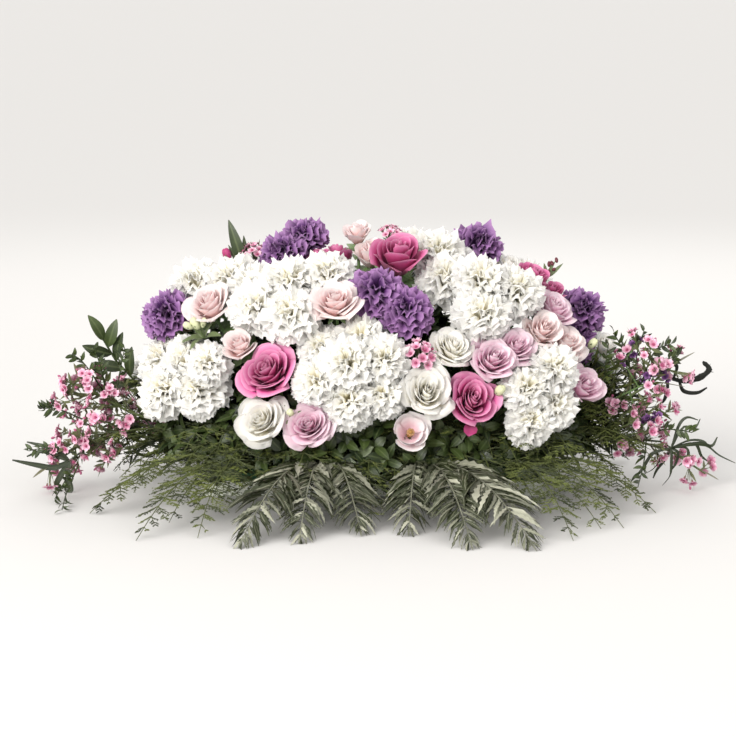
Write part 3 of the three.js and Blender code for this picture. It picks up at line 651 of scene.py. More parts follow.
# Each bloom is x, height seen, radius; a bunch that touches is one piece. The words after the bunch are
# its kind and its finish.
seenBlooms = {
    "carnations_white_left_front": [
        (-332, 207, 39), (-273, 196, 37), (-306, 147, 39), (-237, 139, 39), (-231, 184, 29),
    ],
    "carnations_white_left_upper": [
        (-228, 318, 42), (-270, 284, 38), (-190, 270, 40), (-111, 302, 42),
        (-66, 310, 36), (-153, 248, 41), (-106, 250, 38),
    ],
    "carnations_white_centre": [
        (7, 238, 36), (-108, 174, 36), (-51, 197, 38), (-78, 146, 34), (-28, 150, 38), (-2, 192, 36),
        (18, 144, 31),
    ],
    "carnations_white_right_upper": [
        (84, 367, 43), (110, 280, 41), (168, 290, 40), (214, 272, 41), (160, 238, 40),
    ],
    "carnations_white_right_front": [(257, 188, 36), (216, 146, 35), (262, 144, 34), (231, 112, 32)],
    "carnations_purple_left": [(-287, 249, 35), (-351, 272, 27)],
    "carnations_purple_top_left": [(-141, 354, 35), (-92, 357, 33)],
    "carnations_purple_centre": [(-8, 297, 37), (57, 254, 34)],
    "carnations_purple_top_right": [(162, 351, 35)],
    "carnations_purple_right": [(306, 279, 34), (324, 230, 31)],
    "roses_magenta_top": [(50, 328, 41)],
    "roses_magenta_left": [(-167, 168, 39)],
    "roses_magenta_front": [(138, 144, 35)],
    "roses_magenta_right": [(239, 315, 26), (281, 282, 24)],
    "roses_lavender_front": [(-90, 110, 33)],
    "roses_lavender_right": [(177, 182, 34), (219, 203, 29)],
    "roses_lavender_upper_right": [(257, 262, 33)],
    "roses_lavender_end": [(309, 147, 32)],
    "roses_blush_centre": [(-60, 249, 34)],
    "roses_blush_top": [(-48, 359, 24), (-6, 359, 29)],
    "roses_blush_left": [(-231, 276, 33)],
    "roses_blush_bud": [(-207, 201, 26)],
    "roses_blush_right": [(234, 234, 31), (287, 204, 30)],
    "roses_cream_right": [(126, 212, 31)],
    "roses_cream_front": [(65, 142, 37)],
    "roses_cream_left": [(-168, 108, 35)],
    "roses_cream_top": [(207, 324, 26)],
    "roses_cream_end": [(368, 244, 19)],
    "lisianthus_front": [(57, 88, 28)],
    "wax_flower_centre": [(72, 186, 21)],
    "wax_flower_top_left": [(-174, 372, 17)],
    "wax_flower_top": [(20, 400, 15)],
    "leaf_top_left": [(-188, 338, 10)],
    "berry_twig_right": [(262, 318, 9)],
    "lisianthus_buds_left": [(-258, 232, 15)],
}
crestBlooms = {  # x, y, radius, on top of the dome
    "roses_magenta_crest": [(-88, 22, 28), (-42, 24, 30)],
    "carnations_white_back_left": [(-240, 52, 43)],
    "carnations_white_back_centre": [(104, 60, 43), (38, 40, 40)],
    "carnations_white_back_right": [(250, 48, 43)],
    "carnations_purple_back_left": [(-160, 54, 38)],
    "carnations_purple_back_right": [(180, 56, 38)],
}
backBlooms = {  # x, height, radius, on the far side
    "carnations_white_back_left": [(-206, 288, 43), (-290, 262, 42), (-274, 194, 42), (-342, 156, 40)],
    "carnations_white_back_centre": [
        (52, 285, 44), (-30, 281, 44), (0, 208, 44), (80, 206, 44), (56, 130, 43), (-24, 128, 43),
    ],
    "carnations_white_back_right": [(222, 288, 43), (298, 250, 42), (268, 190, 42), (342, 152, 40)],
    "carnations_purple_back_left": [(-120, 276, 38)],
    "carnations_purple_back_right": [(140, 272, 38)],
    "roses_magenta_back": [(-176, 200, 38), (-204, 130, 37)],
    "roses_blush_back": [(-88, 200, 38), (-112, 124, 37)],
    "roses_lavender_back": [(166, 196, 38), (190, 122, 37)],
}
kinds = {"carnations": "carnation", "roses": "rose", "lisianthus_front": "rose", "wax": "wax"}
neckShare = {"carnation": 0.66, "rose": 0.86, "wax": 0.8, "sprig": 0}
easing = {"rounds": 60, "apart": 0.93, "bunched": 0.7, "touching": 0.74, "depth": 0.06}
forward = Vector((0, -0.9, 0.25)) * 0.55  # how far the front blooms turn out of the dome
# how far two heads press into each other, by whether they are joined and whether both are carnations
pressed = {(True, True): 0.19, (False, True): 0.13, (True, False): 0.03, (False, False): 0.0}


def gapBetween(a, b):
    return b["centre"] - a["centre"]


def bringTogether(a, b, by):
    way = gapBetween(a, b).normalized()
    a["centre"] += way * by
    b["centre"] -= way * by


def easeApart(blooms, pairs):
    for _ in range(easing["rounds"]):
        for a, b in pairs:
            excess = gapBetween(a, b).length - easing["touching"] * (a["radius"] + b["radius"])
            if excess > 0:
                bringTogether(a, b, excess / 2)
        for a in blooms:
            for b in blooms:
                share = easing["bunched" if a["group"] == b["group"] else "apart"]
                lack = share * (a["radius"] + b["radius"]) - gapBetween(a, b).length
                if a is not b and lack > 0:
                    bringTogether(a, b, -lack / 4)
        for a in blooms:
            level = domeLevel(a["centre"], dome["outer"]) ** (1 / power)
            kept = min(max(level, 1 - easing["depth"]), 1 + easing["depth"])
            a["centre"] = core + (a["centre"] - core) * (kept / level)


# Where each neighbour of a bloom stops its petals.
def wallsOf(a, blooms, joined):
    walls = []
    for b in blooms:
        gap = gapBetween(a, b)
        both = a["radius"] + b["radius"]
        if a is b or gap.length > 1.2 * both:
            continue
        middle = (gap.length ** 2 + a["radius"] ** 2 - b["radius"] ** 2) / (2 * gap.length)
        near = {a["number"], b["number"]} in joined
        room = both * pressed[near, a["kind"] == b["kind"] == "carnation"]
        walls.append((np.array(gap.normalized()), middle + room))
    return walls


def placeBlooms():
    blooms = []
    for table, locate in ((seenBlooms, seenOnDome), (crestBlooms, aboveOnDome), (backBlooms, behindOnDome)):
        for group, heads in table.items():
            kind = kinds.get(group) or kinds.get(group.split("_")[0], "sprig")
            for first, second, radius in heads:
                blooms.append({
                    "group": group, "kind": kind, "centre": locate(first, second), "radius": radius,
                    "inFront": table is seenBlooms, "number": len(blooms),
                })
    pairs = []
    for a in blooms:
        before = [b for b in blooms[:a["number"]] if b["group"] == a["group"]]
        if before:
            pairs.append((a, min(before, key=lambda b: gapBetween(a, b).length)))
    easeApart(blooms, pairs)
    for a in blooms:
        a["end"] = stemEnd(a["centre"])
        a["up"] = a["facing"] = (a["centre"] - a["end"]).normalized()
        if a["inFront"]:
            a["facing"] = (a["up"] + forward).normalized()
        a["neck"] = a["centre"] - a["up"] * (neckShare[a["kind"]] * a["radius"])
    joined = [{a["number"], b["number"]} for a, b in pairs]
    for a in blooms:
        a["walls"] = wallsOf(a, blooms, joined)
    for a in blooms:
        for name in ("centre", "end", "up", "facing", "neck"):
            a[name] = np.array(a[name])
        a["u"], a["v"] = squareTo(a["facing"])
    return blooms


blooms = placeBlooms()
print("placed", len(blooms), "blooms")


def bloomOf(group):
    return next(b for b in blooms if b["group"] == group)


# From a bloom's own frame, in shares of its radius, to its place, pressed in by its neighbours.
swell = {"carnation": 1.2, "rose": 1.14, "wax": 1.1}


def setOnBloom(local, bloom):
    axes = np.stack([bloom["u"], bloom["v"], bloom["facing"]])
    grown = bloom["radius"] * swell[bloom["kind"]]
    out = grown * (local @ axes)
    length = np.linalg.norm(out, axis=-1, keepdims=True)
    way = out / np.maximum(length, 1e-6)
    share = np.ones_like(length)
    for toward, distance in bloom["walls"]:
        slope = (way @ toward)[..., None]
        limit = distance / (np.maximum(slope, 1e-4) * 0.93 * grown)
        share = np.where(slope > 0, np.minimum(share, limit), share)
    return bloom["centre"] + way * length * share


# The stem below a bloom, with the calyx that it widens into.
def stemBelow(bloom, cup, girth):
    r = bloom["radius"]
    top = bloom["centre"] - bloom["facing"] * cup * r
    neck = bloom["neck"]
    line = [top, (top * 2 + neck) / 3, neck + bloom["up"] * 0.05 * r, neck - bloom["up"] * 6, bloom["end"]]
    return rodAlong("stem", line, [girth * r, girth * 0.9 * r, girth * 0.55 * r, 2.4, 1.7], green=1.0)


# carnations

carnation = {
    # petals in the ring, angle from the middle, half width, ruffle, twist
    "rings": [
        (6, 12, 0.34, 0.13, 1.0), (8, 31, 0.42, 0.13, 0.8), (9, 51, 0.47, 0.12, 0.6),
        (10, 71, 0.49, 0.11, 0.5), (10, 92, 0.49, 0.09, 0.4),
    ],
    "height": 0.74, "shoulder": 0.74, "middle": -0.06, "foot": -0.5, "footOut": 0.05,
    "tooth": 0.024, "waves": 2.5, "thickness": 0.5, "cup": 0.36, "girth": 0.2,
}


def carnationHead(bloom, draw):
    blankName = "frill" if bloom["inFront"] else "plainFrill"
    a, t, n = blanks[blankName]["points"].T[:, None]
    columns = len(np.unique(a)) - 1
    t = np.clip(t, 0, 1) ** 0.75
    rows = []
    rings = carnation["rings"]
    for i, (count, angle, wide, ruffle, twist) in enumerate(rings):
        count = count if bloom["inFront"] or i < 2 else count - 1
        turn = draw.random()
        for k in range(count):
            rows.append((
                2 * pi * (k + turn + 0.35 * (draw.random() - 0.5)) / count,
                radians(angle + 9 * (draw.random() - 0.5)),
                wide * (0.88 + 0.24 * draw.random()),
                ruffle * (0.75 + 0.5 * draw.random()),
                2 * twist * (draw.random() - 0.5),
                0.92 + 0.13 * draw.random(),
                i / (len(rings) - 1),
                draw.random(),
                2 * pi * draw.random(),
            ))
    turn, angle, wide, ruffle, twist, reach, out, own, phase = np.array(rows).T[:, :, None]
    # the line of each petal, from the foot up and out to the dome of the head
    edgeOut = reach * np.sin(angle)
    level = np.sign(np.cos(angle)) * np.abs(np.cos(angle)) ** carnation["shoulder"]
    edgeUp = carnation["middle"] + carnation["height"] * reach * level
    foot, footOut = carnation["foot"], carnation["footOut"]
    bendOut = footOut + 0.22 * edgeOut
    bendUp = foot + 0.8 * (edgeUp - foot) + 0.16
    s = t * (1 - 0.13 * a ** 2)
    s = s + carnation["tooth"] * (t > 0.99) * np.where(np.round((a + 1) * columns / 2) % 2 < 0.5, 1, -1)
    lineOut = (1 - s) ** 2 * footOut + 2 * s * (1 - s) * bendOut + s ** 2 * edgeOut
    lineUp = (1 - s) ** 2 * foot + 2 * s * (1 - s) * bendUp + s ** 2 * edgeUp
    wayOut = 2 * (1 - s) * (bendOut - footOut) + 2 * s * (edgeOut - bendOut)
    wayUp = 2 * (1 - s) * (bendUp - foot) + 2 * s * (edgeUp - bendUp)
    size = np.hypot(wayOut, wayUp)
    wave = np.sin(carnation["waves"] * pi * a + phase) + 0.45 * np.sin(7.3 * a + 2.1 * phase)
    bend = ruffle * wave * t ** 1.6 + twist * a * wide * t - 0.1 * t ** 4
    bend = bend + n * carnation["thickness"] / 2 / bloom["radius"]
    radial = lineOut - wayUp / size * bend
    upward = lineUp + wayOut / size * bend
    sideways = a * wide * (0.1 + 0.9 * t ** 0.85) * (1 - 0.08 * np.cos(2 * wave))
    cos, sin = np.cos(turn), np.sin(turn)
    local = np.stack([radial * cos - sideways * sin, radial * sin + sideways * cos, upward], axis=-1)
    return copiesOf(blankName, setOnBloom(local, bloom), near=t, out=out, own=own)


# roses, from a tight spiral in the heart to wide petals with rolled rims

roseForms = {
    "full": {
        "petals": 27, "reach": 0.88, "heart": 0.05, "top": 0.62, "skirt": 0.3, "flare": 0.22, "roll": 0.2,
        "wide": (84, 50), "loose": 0.9, "oval": 0.24,
    },
    "half": {
        "petals": 18, "reach": 0.78, "heart": 0.05, "top": 0.72, "skirt": 0.5, "flare": 0.17, "roll": 0.14,
        "wide": (88, 56), "loose": 0.8, "oval": 0.24,
    },
    "cup": {
        "petals": 7, "reach": 0.94, "heart": 0.6, "top": 0.5, "skirt": 0.36, "flare": 0.06, "roll": 0.02,
        "wide": (70, 62), "loose": 0.2, "oval": 0.04,
    },
}
rose = {
    "thickness": 0.6, "foot": -0.62, "footOut": 0.09, "spiral": radians(137.5), "cup": 0.52, "girth": 0.13,
}


def roseHead(bloom, draw, form):
    shape = roseForms[form]
    a, t, n = blanks["petal"]["points"].T[:, None]
    count = shape["petals"]
    k = np.arange(count)[:, None]
    out = k / (count - 1)

    def each():
        return draw.random((count, 1))

    turn = 2 * pi * draw.random() + k * rose["spiral"] + shape["loose"] * (each() - 0.5)
    reach = shape["heart"] + (shape["reach"] - shape["heart"]) * out ** 1.1
    reach = reach * (0.95 + 0.1 * each())
    top = shape["top"] + (shape["skirt"] - shape["top"]) * out ** 1.9 + 0.12 * (each() - 0.5)
    half = np.radians(shape["wide"][0] + (shape["wide"][1] - shape["wide"][0]) * out ** 0.6)
    foot, footOut = rose["foot"], rose["footOut"]
    s = t * (1 - (0.05 + 0.19 * out) * np.abs(a) ** 2.6)
    curl = np.clip((t - 0.66) / 0.34, 0, 1) ** 2
    radius = footOut + (reach - footOut) * np.sin(s * pi / 2) ** 0.85
    radius = radius + curl * shape["flare"] * out ** 1.3 * (1.05 - 0.4 * a ** 2) + 0.045 * a * (0.4 + out)
    height = foot + (top - foot) * s ** 1.15 - curl * shape["roll"] * out ** 1.5 * (0.8 + 0.4 * a ** 2)
    wobble = 0.02 * out * np.sin(4 * a + 7 * each()) * t
    radius = radius + wobble + n * rose["thickness"] / 2 / bloom["radius"]
    angle = turn + a * half * (1 - 0.22 * curl) * (0.72 + 0.28 * np.sin(pi * np.minimum(t, 0.8) / 1.6))
    # in the heart the petals lean in by draws of their own, and it is a little oval
    radius = radius * (1 - 0.3 * (1 - out) * each() * a * np.clip(t, 0, 1))
    slant = pi * draw.random()
    longer = radius * np.cos(angle - slant) * (1 + shape["oval"] * (1 - out))
    shorter = radius * np.sin(angle - slant) * (1 - shape["oval"] * (1 - out))
    x = longer * math.cos(slant) - shorter * math.sin(slant)
    y = longer * math.sin(slant) + shorter * math.cos(slant)
    local = np.stack([x, y, height], axis=-1)
    return [copiesOf("petal", setOnBloom(local, bloom), near=t, out=out, own=each()), sepals(bloom, draw)]


# Five narrow green sepals under a bloom.
def sepals(bloom, draw):
    out = outAt(2 * pi * (np.arange(5) / 5 + draw.random()), bloom["u"], bloom["v"])
    r, facing = bloom["radius"], bloom["facing"]
    roots = bloom["centre"] - facing * 0.62 * r + out * 0.12 * r
    tips = roots + out * 0.5 * r - facing * (0.12 + 0.2 * draw.random((5, 1))) * r
    return blades("narrow", roots, tips, facing, 0.1 * r, green=1.0)


# Green leaves on the stem, close under a bloom.
def stemLeaves(bloom, draw, count=5):
    out = outAt(2 * pi * (np.arange(count) / count + 0.2 * draw.random(count)), bloom["u"], bloom["v"])
    r, facing = bloom["radius"], bloom["facing"]
    roots = bloom["centre"] - facing * (1.0 + 0.5 * draw.random((count, 1))) * r
    tips = roots + out * 1.15 * r + facing * (0.1 + 0.5 * draw.random((count, 1))) * r
    return blades("narrow", roots, tips, facing, 0.3 * r, bow=0.1, green=0.9 + 0.1 * draw.random())


# The yellow-brown heart of a lisianthus: a ring of anthers round a green pistil.
def lisianthusHeart(bloom):
    r, centre, facing = bloom["radius"], bloom["centre"], bloom["facing"]
    ways = outAt(2 * pi * (np.arange(7) / 7), bloom["u"], bloom["v"])
    roots = centre - facing * 0.5 * r + ways * 0.04 * r
    ways = unit(facing + 0.16 * ways)
    berry = blanks["berry"]["points"]
    knobs = (roots + ways * 0.6 * r)[:, None] + berry[None] * 0.085 * r
    return [
        setCopies("needle", roots, ways, 0.8, 0.62 * r, near=0.0, out=0.0, own=0.3),
        copiesOf("berry", knobs, near=0.0, out=0.0, own=0.2, green=0.9),
        copiesOf("berry", (centre + facing * 0.12 * r + berry * 0.12 * r)[None], green=1.0),
    ]


halfOpen = (
    "roses_blush_bud", "roses_magenta_right", "roses_lavender_end", "roses_blush_top", "roses_cream_end",
    "roses_cream_top", "roses_magenta_crest", "roses_magenta_top",
)
deepRoses = ("roses_magenta_top", "roses_magenta_crest", "roses_magenta_right")
leafyRoses = (
    "roses_blush_top", "roses_blush_left", "roses_magenta_crest", "roses_magenta_top", "roses_blush_bud",
)


def addBlooms():
    for group in dict.fromkeys(b["group"] for b in blooms if b["kind"] in ("carnation", "rose")):
        single = group == "lisianthus_front"
        shapes = []
        for bloom in (b for b in blooms if b["group"] == group):
            draw = drawFor("blooms", bloom["number"])
            if bloom["kind"] == "carnation":
                shapes += [carnationHead(bloom, draw), stemBelow(bloom, carnation["cup"], carnation["girth"])]
            else:
                form = "cup" if single else "half" if group in halfOpen else "full"
                shapes += [*roseHead(bloom, draw, form), stemBelow(bloom, rose["cup"], rose["girth"])]
            if single:
                shapes += lisianthusHeart(bloom)
            if group in leafyRoses:
                shapes.append(stemLeaves(bloom, draw))
        colour = group.split("_")[1]
        finish = "lisianthus" if single else "crimson" if group in deepRoses else colour
        dress(group, shapes, finish, "petal_blush" if single else "petal_" + colour)


addBlooms()
print("carnations, roses and lisianthus made")


# fern: fronds that arch out of one stem and end on the surface

frond = {
    "crest": 96, "droop": 0.25, "start": 0.16, "finish": 0.94, "floor": 0.9, "stemHeight": 38,
    "tipHeight": 1.4, "wide": {"silver": 46, "feather": 32}, "spread": 0.21,
}
fans = {
    "fern_front_left": ("feather", -188, [(-404, -196), (-322, -366), (-240, -350)]),
    "fern_front_mid_left": ("silver", -72, [(-182, -412), (-102, -386), (-18, -340)]),
    "fern_front_mid_right": ("silver", 66, [(46, -340), (130, -420), (214, -426)]),
    "fern_front_right": ("feather", 186, [(268, -366), (344, -290), (400, -192)]),
    "fern_back_right": ("feather", 188, [(404, 196), (338, 286), (246, 340)]),
    "fern_back_mid_right": ("silver", 66, [(168, 352), (92, 372), (14, 346)]),
    "fern_back_mid_left": ("silver", -66, [(-62, 350), (-132, 376), (-206, 352)]),
    "fern_back_left": ("feather", -186, [(-274, 336), (-346, 276), (-398, 196)]),
}
fanPairs = {("silver", True): 27, ("silver", False): 20, ("feather", True): 14, ("feather", False): 12}


# A frond's blade: a place for each share along the rib and each distance to the side, and its length.
def frondBlade(root, tip, heights):
    root = np.array(root, float)
    run = (np.array(tip, float) - root) * (1, 1, 0)
    length = np.linalg.norm(run)
    run /= length
    side = np.array((-run[1], run[0], 0))

    def at(share, w):
        share, w = np.asarray(share, float), np.asarray(w, float)
        s = np.clip(share, 0, 1)
        a, b, c, d = heights
        z = (1 - s) ** 3 * a + 3 * s * (1 - s) ** 2 * b + 3 * s ** 2 * (1 - s) * c + s ** 3 * d
        flat = root + share[..., None] * length * run + w[..., None] * side
        flat[..., 2] = z - frond["droop"] * np.abs(w)
        return raised(flat, frond["floor"])

    return at, length


def ribOf(at, radii):
    return rodAlong("spine", at(np.linspace(0, 1, 11), np.zeros(11)), radii)


# Shares along the rib for leaflets in pairs, their sides, and how far out they reach at most.
def frondPairs(kind, length, pairs, last, grow, draw=None):
    s = np.repeat(np.linspace(frond["start"] - 0.03, last, pairs), 2)
    if draw:
        s = s + 0.012 * (draw.random(2 * pairs) - 0.5)
    share = np.clip((s - frond["start"]) / (frond["finish"] - frond["start"]), 0, 1)
    full = frond["wide"][kind] * np.sin(pi * (0.16 + 0.8 * share)) ** 0.8
    return s, np.tile([1, -1], pairs), np.minimum(full, frond["spread"] * (s + grow) * length)


# The lower row has few pale leaflets, so it comes out dark: painted shade beneath the upper row.
leafletLayers = (  # blank, share of the reach, lean, half width, drop, how few are pale
    ("ribbon", 1.05, 0.24, 0.06, 0, 1.3), ("narrow", 0.85, 0.2, 0.085, 7, 3.5),
)


# Long slim toothed leaflets in pairs, each turned its own way, over shorter and darker ones; their darkness is
# painted shade under the upper leaflets.
def silverFrond(at, length, draw, pairs):
    shapes = [ribOf(at, [1.9, 1.5, 0.6])]
    for blankName, part, lean, wide, drop, pale in leafletLayers:
        s, sign, reach = frondPairs("silver", length, pairs, 0.95, 0.1, draw)
        count = len(s)
        reach = reach * part * (0.75 + 0.5 * draw.random(count))
        roots = at(s, sign * 0.6)
        tips = at(s + lean * (1.15 - s) * (0.7 + 0.7 * draw.random(count)), sign * reach)
        tips[:, 2] += 20 * (draw.random(count) - 0.42) - drop
        way = unit(tips - roots)
        level = unit(np.cross(way, (0, 0, 1)))
        faces = unit(np.cross(level, way) + 2.2 * (draw.random((count, 1)) - 0.5) * level)
        half = wide * (0.8 + 0.4 * draw.random(count)) * np.linalg.norm(tips - roots, axis=1) + 1.3
        # in the lower row most leaflets are drawn dark, as painted shade
        own = draw.random((count, 1)) ** pale
        sweep = 0.12 * (draw.random((count, 1)) - 0.5)
        shapes.append(blades(
            blankName, roots, tips, faces, half, fullest=0.36, teeth=0.5, bow=0.07, sweep=sweep, own=own
        ))
    root, tip = at(np.array([0.93, 1.0]), np.zeros(2))[:, None]
    shapes.append(blades("ribbon", root, tip, (0, 0, 1.0), 2.6, teeth=0.5))
    return keepOffFloor(shapes)


# Side branches set with branchlets of fine needles.
def featherFrond(at, length, draw, pairs, branchlets=4, needles=3, scale=1.0):
    shapes = [ribOf(at, [1.5, 1.1, 0.5])]
    s, sign, reach = frondPairs("feather", length, pairs, 0.93, 0.12)
    reach = reach * scale * (0.8 + 0.4 * draw.random(len(s)))
    lean = (0.1 + 0.07 * draw.random(len(s))) * (1.1 - s)
    roots = at(s, sign * 0.5)
    tips = at(s + lean, sign * reach)
    tips[:, 2] += 12 * (draw.random(len(s)) - 0.4)
    branch = np.linalg.norm(tips - roots, axis=1)
    way = unit(tips - roots)
    shapes.append(setCopies("needle", roots, way, 1.0, branch, own=0.4))
    # branchlets, in pairs along each branch and one at its end
    across = unit(np.cross(way, (0, 0, 1)))
    shares = np.append(np.repeat(np.linspace(0.12, 0.9, branchlets), 2), 0.93)
    signs = np.append(np.tile([1, -1], branchlets), 0)
    place = roots[:, None] + (tips - roots)[:, None] * shares[None, :, None]
    tilt = 0.6 * (draw.random((len(s), len(shares), 1)) - 0.4) * np.array([0, 0, 1.0])
    ways = unit(way[:, None] * 1.15 + across[:, None] * signs[None, :, None] + tilt)
    long = (0.5 * branch[:, None] * (1.05 - 0.8 * shares) + 2.0) * np.where(signs == 0, 1.5, 1.0)
    long = long * (0.8 + 0.4 * draw.random(long.shape))
    kept = draw.random(long.shape) < 1.6 * branch[:, None] / branch.max() + 0.05
    place, ways, long = place[kept], ways[kept], long[kept]
    own = np.repeat(draw.random(len(s)), len(shares))[kept.ravel()][:, None]
    thin = ((1.1 - 0.7 * s)[:, None] * (1.15 - 0.6 * shares[None])).ravel()[kept.ravel()]
    shapes.append(setCopies("needle", place, ways, 0.9, long, own=own))
    # needles, in pairs along each branchlet
    side = unit(np.cross(ways, (0, 0, 1.0)))
    for share in np.linspace(0.25, 0.85, needles):
        for sign in (1, -1):
            out = unit(ways * 1.1 + side * sign + 0.6 * (draw.random((len(ways), 3)) - 0.5))
            size = (7.5 + 5.0 * draw.random(len(ways))) * (1.2 - 0.6 * share) * thin
            size = np.minimum(size, (0.55 * long + 0.8) * (1.15 - 0.5 * share))
            spots = place + ways * (long * share)[:, None]
            shapes.append(setCopies("needle", spots, out, 0.85, size, own=own))
    return keepOffFloor(shapes)


def addFans():
    for number, (name, (kind, x, tips)) in enumerate(fans.items()):
        draw = drawFor("fans", number)
        out = math.copysign(1, tips[0][1])
        fork = (x, out * 87, frond["stemHeight"])
        shapes = [rodAlong("stem", [(x, out * 25, 30), fork], [2.6, 2.6])]
        makeFrond = silverFrond if kind == "silver" else featherFrond
        for tip in tips:
            at, length = frondBlade(
                fork, (*tip, 0), (fork[2], frond["crest"], 0.75 * frond["crest"], frond["tipHeight"])
            )
            shapes += makeFrond(at, length, draw, fanPairs[kind, "front" in name])
        dress(name, shapes, kind + "Fern", "fern_grey_green" if "mid" in name else "fern_dark_green")


addFans()
print("fern fans made")


# The bed of fern under the blooms: sprigs that come out of the foam low down, all the way round, in a few
# rows, with loose narrow leaves among them.
bed = {
    # roots from and to along x or y, how many, reach, rise at the tip, highest, how far they fan out
    "front": [
        (-216, 216, 17, 178, 34, 104, 1.42), (-212, 212, 16, 122, 88, 130, 1.34),
        (-212, 212, 9, 92, 20, 74, 1.2), (-206, 206, 12, 232, 12, 66, 1.5),
    ],
    "back": [(-212, 212, 12, 172, 34, 104, 1.42), (-200, 200, 8, 106, 84, 126, 1.3)],
    "left": [
        (-44, 44, 6, 170, 60, 112, 1.9), (-36, 36, 6, 130, 130, 158, 1.6), (-40, 36, 5, 140, 22, 84, 2.1),
    ],
    "right": [
        (-44, 44, 6, 170, 60, 112, 1.9), (-36, 36, 6, 140, 132, 160, 1.6), (-30, 30, 5, 146, 150, 182, 1.3),
        (-36, 36, 5, 160, 100, 140, 1.7), (-40, 36, 4, 132, 22, 84, 2.1),
    ],
}


def bedSprigs(side, first, last, count, reach, rise, top, fan, draw):
    sprigs = []
    sign = -1 if side in ("front", "left") else 1
    for i in range(count):
        along = first + (last - first) * (i + 0.5 * draw.random()) / (count - 0.5)
        out = reach * (0.82 + 0.36 * draw.random())
        up = rise * (0.6 + 0.8 * draw.random())
        height = min(46 + 18 * draw.random(), top - 6)
        over = top * (0.94 + 0.12 * draw.random())
        spread = along * fan + 30 * (draw.random() - 0.5)
        if side in ("front", "back"):
            ends = (along, sign * 48, height), (spread, sign * (55 + out), up)
        else:
            ends = (sign * 222, along, height), (sign * (230 + out), spread, up)
        sprigs.append((*ends, (height, over, over, up)))
    return sprigs


# Narrow leaves that stand out of the foam among the sprigs: their reach, rise and highest.
looseLeaf = (70, 62, 80)


def looseLeaves(side, first, last, fan, count, draw):
    roots, tips = [], []
    for root, tip, _ in bedSprigs(side, first, last, count, *looseLeaf, fan, draw):
        roots.append(root)
        tips.append(np.array(tip) + (0, 0, 34 * draw.random()))
    roots, tips = np.array(roots), np.array(tips)
    faces = unit(np.array((0, 0, 1.0)) + 0.5 * draw.normal(size=roots.shape))
    own = draw.random((len(roots), 1))
    wide = 3.4 + 2.6 * draw.random(len(roots))
    return blades("narrow", roots, tips, faces, wide, bow=0.1, own=own)


def bedShapes(side, rows, draw):
    shapes = []
    for first, last, count, reach, rise, top, fan in rows:
        for sprig in bedSprigs(side, first, last, count, reach, rise, top, fan, draw):
            shapes += featherFrond(*frondBlade(*sprig), draw, 7, branchlets=3, needles=2, scale=1.5)
        shapes.append(looseLeaves(side, first, last, fan, count * 2, draw))
    return shapes


addSides("fern_bed_", "bed", bed, bedShapes, "featherFern", "fern_dark_green")
print("fern bed made")


# broad dark leaves between and behind the blooms, each tuft on its own stem out of the foam

greens = {
    # the blank, how far out on the dome, leaves, length, half width, room between tufts
    "layers": {
        "gaps": ("narrow", 0.88, 4, 30, 7, 16), "behind": ("tiny", 0.7, 7, 50, 9, 43),
        "inside": ("tiny", 0.46, 6, 62, 11, 54),
    },
    "gap": 3, "lowest": 66, "floor": 8, "spots": 900, "spiral": radians(137.508),
}


# An even spiral of places over the dome.
def gapSpots():
    spots = []
    for i in range(greens["spots"]):
        height = 1 - 1.12 * (i + 0.5) / greens["spots"]
        flat = math.sqrt(max(1 - height ** 2, 0))
        way = np.array((flat * math.cos(i * greens["spiral"]), flat * math.sin(i * greens["spiral"]), height))
        way = way / np.sum(np.abs(way) ** power) ** (1 / power)
        spots.append(np.array(core) + way * np.array(dome["outer"]))
    return np.array([spot for spot in spots if spot[2] >= greens["lowest"]])


def leafTufts(spots, draw, blankName, share, leaves, length, width, apart):
    centre = np.array(core)
    shapes = []
    for spot in spots:
        place = centre + (spot - centre) * share
        end = np.array(stemEnd(Vector(place)))
        up = unit(place - end)
        turns = 2 * pi * (np.arange(leaves) / leaves + draw.random()) + 0.5 * draw.random(leaves)
        out = outAt(turns, *squareTo(up))
        roots = place - up * (6 + 10 * draw.random((leaves, 1)))
        size = length * (0.75 + 0.5 * draw.random((leaves, 1)))
        tips = roots + (out * 0.85 + up * (0.15 + 0.5 * draw.random((leaves, 1)))) * size
        faces = unit(up * 0.9 - out * 0.3 + 0.2 * draw.normal(size=roots.shape))
        own = draw.random((leaves, 1))
        wide = width * (0.8 + 0.4 * draw.random(leaves))
        shapes.append(blades(blankName, roots, tips, faces, wide, 0.7, fullest=0.46, bow=0.08, own=own))
        shapes.append(rodAlong("thread", [end, place], [1.3, 1.0]))
    return shapes


def addGreens():
    spots = gapSpots()
    centres = np.array([b["centre"] for b in blooms])
    radii = np.array([b["radius"] for b in blooms])
    room = (np.linalg.norm(spots[:, None] - centres[None], axis=2) - 0.92 * radii[None]).min(axis=1)
    draw = drawFor("greens")
    for name, half in (("greens_front", spots[:, 1] < 0), ("greens_back", spots[:, 1] >= 0)):
        shapes = []
        for layer, row in greens["layers"].items():
            order = np.argsort(-room) if layer == "gaps" else np.arange(len(spots))
            chosen = []
            for i in order:
                if half[i] and (layer != "gaps" or room[i] > greens["gap"]):
                    if all(np.linalg.norm(spots[i] - spots[j]) > row[-1] for j in chosen):
                        chosen.append(i)
            shapes += leafTufts(spots[chosen], draw, *row)
        addPiece(name, keepOffFloor(shapes, greens["floor"]), "leaf", "leaf_green")


addGreens()
print("leaves between the blooms made")


# wax flower

